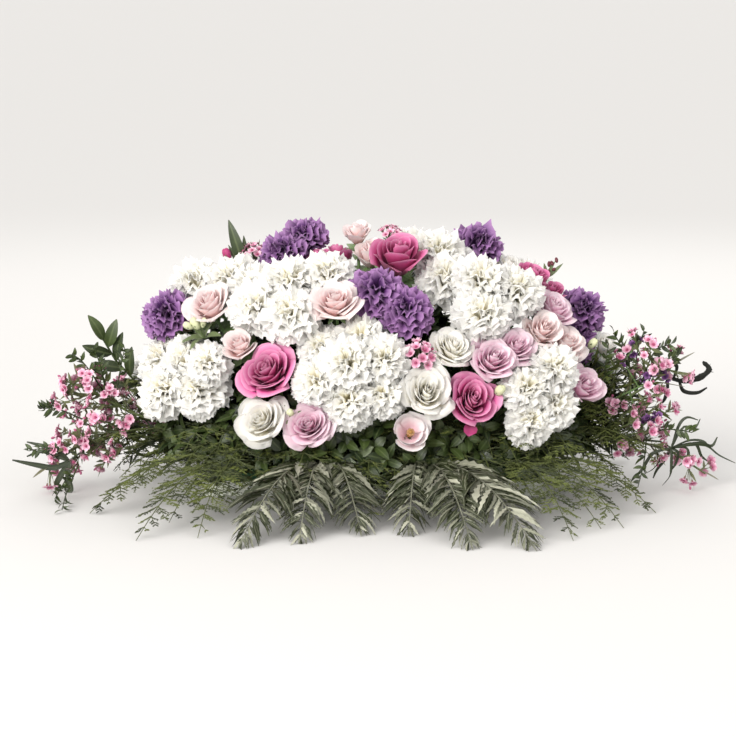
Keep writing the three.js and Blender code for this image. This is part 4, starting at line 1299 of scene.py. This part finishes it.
# Each spray is the line of its stem, its heads, its long leaves and its draw. The side shoots fill a round
# place seen from the front: the middle and the half size, as x and height seen, and how many.
waxSprays = {
    "wax_flower_left_upper": (
        [(-200, -14, 66), (-270, -20, 84), (-382, -40, 130), (-436, -52, 172)], 11, 3, 11,
        ((-418, 146), (54, 44), 14),
    ),
    "wax_flower_left_lower": (
        [(-200, 12, 50), (-270, 4, 60), (-400, -20, 84), (-488, -36, 34)], 11, 3, 23,
        ((-428, 66), (52, 46), 15),
    ),
    "wax_flower_right_upper": (
        [(200, -14, 66), (270, -20, 88), (392, -34, 150), (446, -44, 196)], 9, 3, 37,
        ((386, 198), (34, 28), 7),
    ),
    "wax_flower_right_lower": (
        [(200, 12, 50), (270, 4, 60), (404, -22, 74), (492, -34, 26)], 9, 4, 41,
        ((408, 104), (40, 44), 12),
    ),
}
floret = {
    "radius": 7.9, "length": 24, "leaf": 46, "start": 0.45, "spiral": 2.4, "steps": 5, "shoots": 3,
    "heads": 4, "shootLeaves": 8,
}


# The same draws as the solids have, for the heads and the long leaves.
def drawer(seed):
    state = [seed]

    def nextDraw():
        state[0] = (state[0] * 1103515245 + 12345) % 2147483648
        return state[0] / 2147483648

    return nextDraw


# Small open flowers of five round petals round a dark cup, each on its own thread.
def florets(roots, mouths, radii, draw):
    count = len(mouths)
    way = unit(mouths - roots)
    axes = [axis[:, None, None] for axis in (*squareTo(way), way)]
    a, t, n = blanks["tiny"]["points"].T[:, None, None]
    turn = (2 * pi * (np.arange(5)[None] / 5 + draw.random((count, 1))))[..., None]
    opened = (0.25 + 0.55 * draw.random((count, 1)))[..., None]
    out = 0.12 + 0.88 * t
    side = a * 0.58 * np.sin(pi * (0.16 + 0.6 * t)) * (1 - 0.2 * (t > 0.9) * np.abs(a))
    up = opened * 0.75 * t ** 1.5 + 0.1 * a ** 2 * t + n * 0.04 - 0.1
    x = out * np.cos(turn) - side * np.sin(turn)
    y = out * np.sin(turn) + side * np.cos(turn)
    up = np.broadcast_to(up, x.shape)
    local = x[..., None] * axes[0] + y[..., None] * axes[1] + up[..., None] * axes[2]
    points = mouths[:, None, None] + local * radii[:, None, None, None]
    own = np.repeat(draw.random(count), 5)[:, None]
    out = 0.9 - 0.7 * np.repeat(draw.random(count), 5)[:, None] ** 2
    thread = np.linalg.norm(mouths - roots, axis=1) - radii * 0.1
    return [
        copiesOf("tiny", points.reshape(-1, points.shape[2], 3), near=0.35 + 0.65 * t[0], out=out, own=own),
        setCopies("bead", mouths, way, radii * 0.3, radii * 0.42, near=0.3, out=0.0),
        setCopies("needle", roots, way, 0.9, thread, green=1.0),
        setCopies("bead", mouths - way * radii[:, None] * 0.45, way, radii * 0.24, radii * 0.42, green=0.75),
    ]


# Each flower head of the solid becomes a little spray: a few flowers, a bud and two leaves.
def floretTufts(roots, mouths, radii, draw, flowers):
    along = mouths - roots
    way = unit(along)
    length = np.linalg.norm(along, axis=1, keepdims=True)
    shapes = []
    for k in range(flowers):
        away = unit(draw.normal(size=way.shape))
        away = unit(away - way * np.sum(away * way, axis=1, keepdims=True) + 0.25 * way)
        end = mouths + away * radii[:, None] * (0.2 + 0.8 * k / flowers) * 2.1
        end = raised(end - way * length * 0.16 * k * draw.random((len(way), 1)), 9)
        shapes += florets(roots + along * 0.3 * draw.random((len(way), 1)), end, radii * 0.95, draw)
    away = unit(draw.normal(size=way.shape) + 0.8 * way)
    buds = raised(mouths + away * radii[:, None] * 1.5, 5)
    budWay = unit(buds - roots)
    shapes.append(setCopies("needle", roots, budWay, 0.7, np.linalg.norm(buds - roots, axis=1), green=1.0))
    shapes.append(setCopies("bead", buds, budWay, radii * 0.27, radii * 0.42, near=0.5, out=0.2, own=0.1))
    for _ in range(2):
        tips = roots + along * 0.7 + unit(draw.normal(size=way.shape) + 0.9 * way) * radii[:, None] * 2.0
        raised(tips, 3)
        faces = unit(np.cross(way, tips - mouths))
        shapes.append(blades("narrow", roots + along * 0.35, tips, faces, 2.1, green=0.95))
    return shapes


# Side shoots that fill a round place with flowers, each from the stem a little nearer the foam.
def sideShoots(line, middle, half, count, draw):
    k = np.arange(count)
    share = np.sqrt((k + 0.5) / count) * (0.85 + 0.3 * draw.random(count))
    x = middle[0] + half[0] * share * np.cos(k * floret["spiral"])
    h = middle[1] + half[1] * share * np.sin(k * floret["spiral"])
    y = -44 + 56 * (draw.random(count) - 0.5)
    mouths = raised(np.array([seenAt(*spot) for spot in zip(x, h, y)]), 12)
    fine = smoothLine(line, 40)
    nearest = np.linalg.norm(mouths[:, None] - fine[None], axis=2).argmin(axis=1)
    roots = fine[np.maximum(nearest - 7, 8)]
    radii = floret["radius"] * (0.78 + 0.25 * draw.random(count))
    stems = [rodAlong("thread", [a, b], [1.3, 0.9], green=1.0) for a, b in zip(roots, mouths)]
    ends = mouths - (mouths - roots) * np.minimum(14 / np.linalg.norm(mouths - roots, axis=1), 0.9)[:, None]
    shapes = stems + floretTufts(ends, mouths, radii, draw, floret["shoots"])
    # leaves along each shoot
    leaves = floret["shootLeaves"]
    share = np.tile(np.linspace(0.3, 0.95, leaves), count)[:, None]
    starts = np.repeat(roots, leaves, axis=0) * (1 - share) + np.repeat(mouths, leaves, axis=0) * share
    away = unit(draw.normal(size=starts.shape) + 0.8 * np.repeat(unit(mouths - roots), leaves, axis=0))
    tips = raised(starts + away * (12 + 10 * draw.random((len(starts), 1))), 2)
    wide = 2.2 + 1.4 * draw.random(len(starts))
    green = 0.9 + 0.1 * draw.random((len(starts), 1))
    faces = unit(draw.normal(size=starts.shape))
    return shapes + [blades("tiny", starts, tips, faces, wide, fullest=0.5, green=green)]


def addWaxSpray(number, name, points, flowers, leaves, seed, place):
    draw = drawer(seed)
    line = smoothLine(points, floret["steps"])
    start = floret["start"]

    # a root on the stem, and a way out from it that leans along the stem
    def shoot(share, i, lean):
        s = share * floret["steps"]
        k = min(int(s), floret["steps"] - 1)
        way = unit(line[k + 1] - line[k])
        angle = i * floret["spiral"] + draw()
        u, v = squareTo(way)
        out = unit(u * math.cos(angle) + v * math.sin(angle) + way * lean)
        return line[k] * (1 - s + k) + line[k + 1] * (s - k), out

    roots, mouths, radii = [], [], []
    for i in range(flowers):
        root, out = shoot(start + (1 - start) * (i + 0.5) / flowers, i, 0.5)
        mouth = root + out * floret["length"] * (0.8 + 0.7 * draw())
        radii.append(floret["radius"] * (0.85 + 0.3 * draw()))
        roots.append(root)
        mouths.append(raised(mouth, radii[-1] + 2))
    tuftDraw = drawFor("waxSprays", number)
    shapes = [rodAlong("spine", line, [2.6, 1.6], green=1.0)]
    shapes += floretTufts(np.array(roots), np.array(mouths), np.array(radii), tuftDraw, floret["heads"])
    shapes += sideShoots(points, *place, tuftDraw)
    roots, tips = [], []
    for i in range(leaves):
        root, out = shoot(min(start + (1 - start) * (i + 0.8) / leaves, 0.97), i + 0.5, 1.1)
        roots.append(root)
        tips.append(raised(root + out * floret["leaf"] * (0.7 + 0.4 * draw()), 3))
    shapes.append(blades("leaf", np.array(roots), np.array(tips), (0.1, 0.15, 1.0), 4.0, 0.7, green=0.9))
    dress(name, shapes, "wax", "wax_flower_pink")


for number, (name, row) in enumerate(waxSprays.items()):
    addWaxSpray(number, name, *row)
print("wax flower sprays made")


# Small clusters of wax flower among the blooms: flowers, how far round the head they go, leaf half width.
waxCluster = {"flowers": 11, "round": 1.15, "leaf": 1.5}


def addWaxClusters():
    count = waxCluster["flowers"]
    for bloom in (b for b in blooms if b["kind"] == "wax"):
        draw = drawFor("waxClusters", bloom["number"])
        k = np.arange(count)
        angle = k * floret["spiral"]
        spread = np.sqrt((k + 0.4) / count) * waxCluster["round"]
        local = np.stack([
            np.sin(spread) * np.cos(angle), np.sin(spread) * np.sin(angle), 0.75 * np.cos(spread) - 0.1
        ], axis=-1)
        mouths = setOnBloom(local[None], bloom)[0]
        roots = np.broadcast_to(bloom["neck"], mouths.shape)
        shapes = florets(roots, mouths, np.full(count, 0.3 * bloom["radius"] + 1.2), draw)
        tips = mouths + unit(mouths - roots) * 5 + 4 * draw.normal(size=mouths.shape)
        faces = unit(draw.normal(size=tips.shape))
        shapes.append(blades("narrow", roots, tips, faces, waxCluster["leaf"], green=0.9))
        shapes.append(stemBelow(bloom, 0.7, 0.1))
        dress(bloom["group"], shapes, "wax", "wax_flower_pink")


addWaxClusters()
print("wax flower clusters made")


# the single sprigs among the blooms

# Ways to the side and to the front, square to the way up.
def sidesOf(up):
    side = unit(np.cross(up, (0, 1, 0)))
    return side, unit(np.cross(side, up))


topLeaves = {  # how far up the root and the tip are, how far aside the tip is, how it turns, half width
    "long": (0, 75, 0, 0, 8.8), "right": (2, 46, 14, 0.4, 5.0), "left": (-4, 40, -12, -0.4, 4.6),
}


def addTopLeaf():
    sprig = bloomOf("leaf_top_left")
    base, up = sprig["centre"], sprig["up"]
    toFront = unit(np.array((0, -1.0, 0.2)) - up * np.dot((0, -1.0, 0.2), up))
    side = np.cross(up, toFront)
    low, high, aside, turned, wide = np.array(list(topLeaves.values())).T[:, :, None]
    shapes = [rodAlong("stem", [sprig["end"], base + up * 6], [1.7, 1.9], green=1.0)]
    tips = base + up * high + side * aside
    faces = toFront + side * turned
    shapes.append(blades("leaf", base + up * low, tips, faces, wide, 0.8, bow=0.05, own=0.3))
    dress("leaf_top_left", shapes, "leaf", "leaf_green")


berryTwig = {
    "berries": [(13, 3.2), (20, -3.6), (27, 3.0), (34, -1.0), (24, 6.5)],  # up and aside
    "leaves": [(34, -12), (22, 14), (30, 2)],
    "size": (2.7, 4.6),
}


def addBerryTwig():
    sprig = bloomOf("berry_twig_right")
    draw = drawFor("berryTwig")
    base, up = sprig["centre"], sprig["up"]
    side = sidesOf(up)[0]
    stem = [sprig["end"], base, base + up * 20, base + up * 32]
    shapes = [rodAlong("stem", stem, [1.7, 1.4, 1.1, 0.7], green=1.0)]
    axes = np.stack([up, side])
    centres, tips = (base + np.array(berryTwig[part]) @ axes for part in ("berries", "leaves"))
    ways = unit(up + 0.5 * draw.normal(size=centres.shape))
    shapes.append(setCopies("berry", centres, ways, *berryTwig["size"], near=0.5, out=0.5, own=0.5))
    shapes.append(blades("narrow", base + up * 4, tips, (0, -1.0, 0.3), 3.0, green=0.9))
    dress("berry_twig_right", shapes, "berry", "berry_red")


# A closed bud on its own thin stem, with green sepals under it.
def closedBud(base, centre, size, side, front, draw):
    way = unit(centre - base)
    shapes = []
    for turn in range(3):
        out = unit(side * math.cos(turn * 2.1) + front * math.sin(turn * 2.1))
        place, lean = (centre + out * size * 0.16)[None], unit(way + 0.14 * out)[None]
        own = draw.random()
        shapes.append(setCopies("berry", place, lean, size * 0.82, size * 1.45, near=0.6, out=0.6, own=own))
    shapes.append(rodAlong("thread", [base, centre - way * size], [1.1, 1.0], green=1.0))
    ring = outAt(np.arange(5) * 2 * pi / 5, side, front)
    roots = centre - way * size * 1.25 + ring * size * 0.2
    tips = centre + way * size * 0.2 + ring * size * 1.1
    return shapes + [blades("narrow", roots, tips, ring, 1.5, green=0.8)]


# Single buds between the blooms: x, height seen, how far out of the dome, size.
singleBuds = {
    "single_buds": ("bud", "bud_green", [(183, 137, 12, 7.5), (317, 202, 16, 6.5), (-122, 106, 10, 5.5)]),
    "magenta_bud": ("crimson", "petal_magenta", [(-216, 336, 12, 7)]),
}


def addSingleBuds(name, finish, slot, spots):
    draw = drawFor("singleBuds")
    shapes = []
    for x, h, out, size in spots:
        spot = seenOnDome(x, h)
        end, spot = np.array(stemEnd(spot)), np.array(spot)
        up = unit(spot - end)
        sides = sidesOf(up)
        base = spot + up * (out - 3 * size)
        shapes.append(rodAlong("stem", [end, base], [1.6, 1.3], green=1.0))
        shapes += closedBud(base, spot + up * out, size, *sides, draw)
        ring = outAt(np.arange(3) * 2.1 + 5 * draw.random(), *sides)
        shapes.append(blades("narrow", base, base + ring * 17 + up * 14, up, 4.0, green=0.95))
    addPiece(name, shapes, finish, slot)


# One loose petal that hangs below the front magenta rose, in shares of the rose's radius.
hangingPetal = {
    "root": (-0.1, -0.3, -0.66), "length": (-0.02, -0.25, -0.68), "face": (0.35, -1.0, -0.3), "wide": 0.32,
}


def addHangingPetal():
    bloom = bloomOf("roses_magenta_front")
    r = bloom["radius"]
    root = bloom["centre"] - bloom["facing"] * 0.15 * r + np.array(hangingPetal["root"]) * r
    tip = root + np.array(hangingPetal["length"]) * r
    near = 0.85 * blanks["petal"]["points"][:, 1]
    petal = blades(
        "petal", root, tip[None], hangingPetal["face"], hangingPetal["wide"] * r, 0.7, fullest=0.66, bow=0.14,
        near=near, out=0.6,
    )
    # The crimson finish, darker than the rose's magenta, is painted shade: no petals over this one shade it as the
    # rose's own petals are shaded.
    addPiece("hanging_petal", [petal], "crimson", "petal_magenta")


lisianthusBuds = {
    "buds": [(16, 0, 4, 7.0), (12, -11, 2, 5.2), (20, 10, 1, 5.6)],  # up, aside, forward, size
    "leaves": [4.0, 16, 8, 20, 2, 12],  # how far up each tip is
    "length": 36, "wide": 6.5,
}


def addLisianthusBuds():
    sprig = bloomOf("lisianthus_buds_left")
    draw = drawFor("lisianthusBuds")
    base, up = sprig["centre"], sprig["up"]
    side, front = sidesOf(up)
    shapes = [rodAlong("stem", [sprig["end"], base + up * 2], [1.7, 1.9], green=1.0)]
    for height, aside, outward, size in lisianthusBuds["buds"]:
        centre = base + up * height + side * aside + front * outward
        shapes += closedBud(base, centre, size, side, front, draw)
    heights = np.array(lisianthusBuds["leaves"])[:, None]
    ring = outAt(np.arange(len(heights)) * 2.4 + 0.6, side, front)
    root = base - up * 10
    tips = root + ring * lisianthusBuds["length"] + up * heights
    faces = unit(up - ring * 0.3)
    shapes.append(blades("leaf", root, tips, faces, lisianthusBuds["wide"], 0.7, bow=0.12, green=0.95))
    dress("lisianthus_buds_left", shapes, "bud", "bud_green")


# Narrow leaves that hang and curl at the ends: how far forward, half width, the stem, then each leaf's x and
# height at its points after the stem's end, seen from the front.
curlingLeaves = {
    "right": (-40, 1.9, [(404, -22, 74), (424, -32, 74), (440, -40, 66)], [
        [(412, 50), (396, 26), (380, 9)], [(426, 42), (412, 26), (399, 20)], [(430, 40), (420, 26), (415, 13)],
        [(440, 40), (438, 18), (426, 3)], [(462, 58), (464, 44), (451, 32)], [(476, 64), (486, 46), (495, 39)],
        [(482, 66), (500, 62), (508, 75)], [(490, 62), (510, 48), (535, 36)], [(468, 70), (488, 68), (498, 58)],
        [(458, 90), (474, 88), (482, 102)], [(452, 96), (462, 104), (478, 100)], [(450, 52), (446, 34), (438, 24)],
    ]),
    "left": (-50, 3.4, [(-400, -20, 84), (-430, -40, 62), (-450, -50, 48)], [
        [(-472, 30), (-500, 34), (-535, 41)], [(-470, 58), (-488, 62), (-512, 68)],
        [(-476, 50), (-492, 54), (-514, 46)], [(-462, 20), (-470, 4), (-462, -8)],
        [(-452, 14), (-448, -4), (-456, -16)],
    ]),
}


def curlingShapes(side, row, draw):
    y, wide, stem, leaves = row
    shapes = [rodAlong("stem", stem, [1.6, 1.2])]
    for leaf in leaves:
        reach = 26 * (draw.random() - 0.5)
        places = [seenAt(x, h, y + reach * (i + 1) / 3) for i, (x, h) in enumerate(leaf)]
        line = raised(smoothLine([stem[-1], *places], 12), 1.2)
        face = unit(np.array((0, -1.0, 0.5)) + 0.5 * draw.normal(size=3))
        half = wide * (0.75 + 0.5 * draw.random())
        shapes.append(leafAlong(line, half, face, own=0.3 * draw.random()))
    return shapes


# Small purple flowers on short spikes at the right: the stem, then each spike's x and height seen.
purpleSpikes = {
    "stem": [(270, -20, 88), (360, -30, 140), (398, -36, 160)],
    "spikes": [
        [(398, 166), (414, 172), (432, 160)], [(366, 186), (378, 202), (386, 214)],
        [(396, 92), (410, 102), (424, 108)],
    ],
    "y": -44, "flowers": 9,
}


def addPurpleSpikes():
    draw = drawFor("purpleSpikes")
    stem = smoothLine(purpleSpikes["stem"], 10)
    shapes = [rodAlong("stem", stem, [1.8, 1.4], green=1.0)]
    for spots in purpleSpikes["spikes"]:
        line = smoothLine([seenAt(x, h, purpleSpikes["y"]) for x, h in spots], 8)
        start = stem[np.linalg.norm(stem - line[0], axis=1).argmin()]
        shapes.append(rodAlong("thread", [start, line[0]], [1.3, 1.1], green=1.0))
        shapes.append(rodAlong("spine", line, [1.2, 0.7], green=1.0))
        roots = alongLine(line, np.linspace(0, 1, purpleSpikes["flowers"]))
        out = unit(draw.normal(size=roots.shape) + (0, -0.6, 0.4))
        shapes += florets(roots, roots + out * 7, 5.0 + 1.5 * draw.random(len(roots)), draw)
    addPiece("purple_spikes_right", shapes, "purple", "petal_purple")


# Leafy sprigs that fill the two ends between the wax flower, dark and close: from the foam to a round place
# seen from the front, the middle and half size as x and height, then how many.
endFoliage = {
    "left": ((-200, 0, 62), (-322, 92), (88, 62), 26), "right": ((200, 0, 66), (354, 124), (66, 74), 36),
}
endLeaf = {"count": 30, "short": 22, "more": 16, "wide": 2.3, "depth": 56}


def endShapes(side, row, draw):
    root, middle, half, count = row
    shapes = []
    for k in range(count):
        share = math.sqrt((k + 0.5) / count)
        x = middle[0] + half[0] * share * math.cos(2.4 * k)
        h = middle[1] + half[1] * share * math.sin(2.4 * k)
        tip = raised(seenAt(x, h, -8 + endLeaf["depth"] * (draw.random() - 0.6)), 8)
        start = np.array(root) + (0, 50 * (draw.random() - 0.5), 26 * (draw.random() - 0.5))
        line = smoothLine([start, (start + tip) / 2 + (0, 0, 14 + 16 * draw.random()), tip], 10)
        shapes.append(rodAlong("sprig", line, [1.5, 0.7], own=0.2))
        roots = alongLine(line, np.linspace(0.22, 1, endLeaf["count"]))
        out = unit(draw.normal(size=roots.shape) + 1.1 * unit(tip - start))
        tips = roots + out * (endLeaf["short"] + endLeaf["more"] * draw.random((len(roots), 1)))
        wide = endLeaf["wide"] * (0.8 + 0.6 * draw.random(len(roots)))
        own = draw.random((len(roots), 1)) ** 1.5
        faces = unit(draw.normal(size=roots.shape) + (0, -0.5, 0.8))
        shapes.append(blades("tiny", roots, tips, faces, wide, fullest=0.5, own=own))
    return shapes


# Small leaves at both ends, in pairs along short twigs.
smallTwigs = {
    "left": [
        [(-396, -30, 150), (-404, -34, 190), (-412, -36, 214)],
        [(-400, -30, 150), (-430, -40, 196), (-442, -44, 206)],
        [(-430, -44, 110), (-468, -56, 128), (-486, -58, 128)],
        [(-440, -50, 60), (-480, -60, 70), (-508, -64, 66)],
        [(-440, -54, 44), (-452, -84, 26), (-462, -128, 8)],
        [(-436, -54, 44), (-446, -110, 16), (-444, -190, 5)],
        [(-380, -30, 150), (-372, -40, 190), (-366, -44, 216)],
    ],
    "right": [
        [(380, -30, 150), (366, -36, 210), (352, -38, 238)], [(384, -30, 156), (388, -38, 214), (396, -40, 240)],
        [(396, -34, 168), (414, -40, 212), (436, -44, 222)], [(400, -34, 170), (424, -42, 196), (446, -46, 204)],
        [(340, -30, 130), (338, -60, 190), (342, -66, 226)], [(410, -36, 90), (440, -52, 96), (468, -56, 92)],
        [(404, -30, 80), (396, -70, 50), (384, -104, 20)],
    ],
}
twigPlaces = np.repeat(np.arange(3, 11), 2)[:-1]  # the points of a twig that carry leaves


def twigShapes(side, twigs, draw):
    shapes = []
    for twig in twigs:
        line = smoothLine(twig, 10)
        shapes.append(rodAlong("spine", line, [1.3, 0.7], own=0.2))
        roots = line[twigPlaces]
        way = unit(np.gradient(line, axis=0))[twigPlaces]
        turns = 2 * pi * draw.random(len(roots))
        u = unit(np.cross(way, (0.2, 1.0, 0.1)))
        out = outAt(turns, u, np.cross(way, u))
        reach = 11 + 8 * draw.random((len(roots), 1))
        tips = raised(roots + unit(out + 0.7 * way) * reach, 1.5)
        own = draw.random((len(roots), 1))
        shapes.append(blades("narrow", roots, tips, np.cross(out, way), 3.0, bow=0.1, own=own))
    return shapes


addTopLeaf()
addBerryTwig()
addLisianthusBuds()
for name, row in singleBuds.items():
    addSingleBuds(name, *row)
addHangingPetal()
addSides("curling_leaves_", "curlingLeaves", curlingLeaves, curlingShapes, "darkLeaf", "leaf_green")
addSides("end_foliage_", "endFoliage", endFoliage, endShapes, "featherFern", "fern_dark_green")
addPurpleSpikes()
addSides("small_twigs_", "smallTwigs", smallTwigs, twigShapes, "leaf", "leaf_green")
print("buds, berries and leaves at the ends made")


# the leafy stem at the left and the curling twig at the right

leafyStem = {
    "points": [(-204, 30, 52), (-260, 34, 84), (-368, 12, 166), (-404, -2, 226)],
    "leaves": 7, "start": 0.62, "finish": 0.97, "length": 46, "width": 9.2, "radii": [2.2, 1.6],
}


def addLeafyStem():
    line = smoothLine(leafyStem["points"], 5)
    fine = smoothLine(leafyStem["points"], 20)
    draw = drawFor("leafyStem")
    shapes = [rodAlong("spine", line, leafyStem["radii"])]
    shares = np.linspace(leafyStem["start"], leafyStem["finish"], leafyStem["leaves"])
    roots = alongLine(line, shares)
    tips = []
    for i, s in enumerate(shares):
        k = min(int(s * 20), 19)
        along = unit(fine[k + 1] - fine[k])
        side = unit(np.cross((0, -1, 0), along)) * (1 if i % 2 == 0 else -1)
        out = unit(along + side * (0 if i == len(shares) - 1 else 1))
        tips.append(roots[i] + out * leafyStem["length"])
    faces = unit(np.array((0, -1.0, 0.35)) + 0.35 * draw.normal(size=roots.shape))
    own = draw.random((len(roots), 1))
    width = leafyStem["width"]
    shapes.append(blades("leaf", roots, np.array(tips), faces, width, 0.9, 0.45, fold=0.2, bow=0.08, own=own))
    dress("leafy_stem_left", shapes, "leaf", "leaf_green")


curlyTwig = {
    "points": [
        (200, 32, 50), (270, 40, 74), (370, 30, 130), (424, 22, 168),
        (456, 14, 158), (484, 10, 162), (500, 8, 176), (490, 4, 188),
    ],
    "shares": [0, 0.5, 0.7, 0.95, 1], "radii": [2.4, 3.0, 4.6, 3.9, 1.8],
    # thinner curls that leave the twig
    "curls": [
        [(448, 16, 160), (452, 12, 180), (444, 8, 184), (440, 10, 172), (450, 14, 162)],
        [(456, 14, 158), (462, 4, 144), (482, 0, 142), (496, -2, 150)],
        [(440, 18, 162), (438, 10, 144), (434, 4, 132), (428, 0, 124)],
        [(424, 22, 168), (418, 14, 186), (410, 10, 196), (402, 8, 200)],
    ],
    "curlRadii": [2.0, 3.2, 2.7, 1.1],
    "spots": [16, 18, 20, 21, 23, 24, 25, 27],  # the points that carry a small dry leaf
}


def addCurlyTwig():
    line = smoothLine(curlyTwig["points"], 28)
    knots = 1 + 0.16 * np.sin(np.arange(29) * 1.9)
    radii = np.interp(np.linspace(0, 1, 29), curlyTwig["shares"], curlyTwig["radii"]) * knots
    shapes = [rodAlong("twig", line, radii, own=0.1)]
    for curl in curlyTwig["curls"]:
        shapes.append(rodAlong("twig", smoothLine(curl, 28), curlyTwig["curlRadii"], own=0.1))
    draw = drawFor("curlyTwig")
    roots, ways = line[curlyTwig["spots"]], unit(np.gradient(line, axis=0))[curlyTwig["spots"]]
    out = unit(ways + 0.9 * unit(draw.normal(size=roots.shape)))
    faces = unit(np.cross(out, (0, 1, 0.1)))
    shapes.append(blades("narrow", roots, roots + out * 10, faces, 1.8, 0.7, own=0.1))
    dress("curly_twig_right", shapes, "bark", "leaf_green")


addLeafyStem()
addCurlyTwig()
print("leafy stem and twig made")


# the saddle and the foam stay as the solids have them, with their own finishes

def foamFinish():
    material, tree, shader = newFinish("wetFoam", 0.92)
    grain, patches = clouds(tree, 900.0, 3.0), clouds(tree, 22.0, 3.0)
    base = mixColour(tree, patches, (0.02, 0.075, 0.035), (0.05, 0.15, 0.075))
    crumb = mixColour(tree, remap(tree, grain, 0.4, 0.65), base, (0.09, 0.21, 0.11))
    setInputs(tree, shader, {"Base Color": crumb, "Normal": reliefFrom(tree, grain, 0.8, 0.0008)})
    return material


def trayFinish():
    material, tree, shader = newFinish("mouldedTray", 0.42)
    grain, drips = clouds(tree, 420.0, 4.0), clouds(tree, 16.0, 4.0)
    setInputs(tree, shader, {
        "Base Color": mixColour(tree, remap(tree, drips, 0.45, 0.75), (0.74, 0.76, 0.70), (0.58, 0.61, 0.50)),
        "Roughness": remap(tree, drips, 0.3, 0.7, 0.34, 0.55),
        "Normal": reliefFrom(tree, grain, 0.25, 0.0003),
    })
    return material


for node, finish in (("foam", foamFinish()), ("saddle", trayFinish())):
    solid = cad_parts[node]
    solid.data.materials.clear()
    solid.data.materials.append(finish)
print("saddle and foam finished")
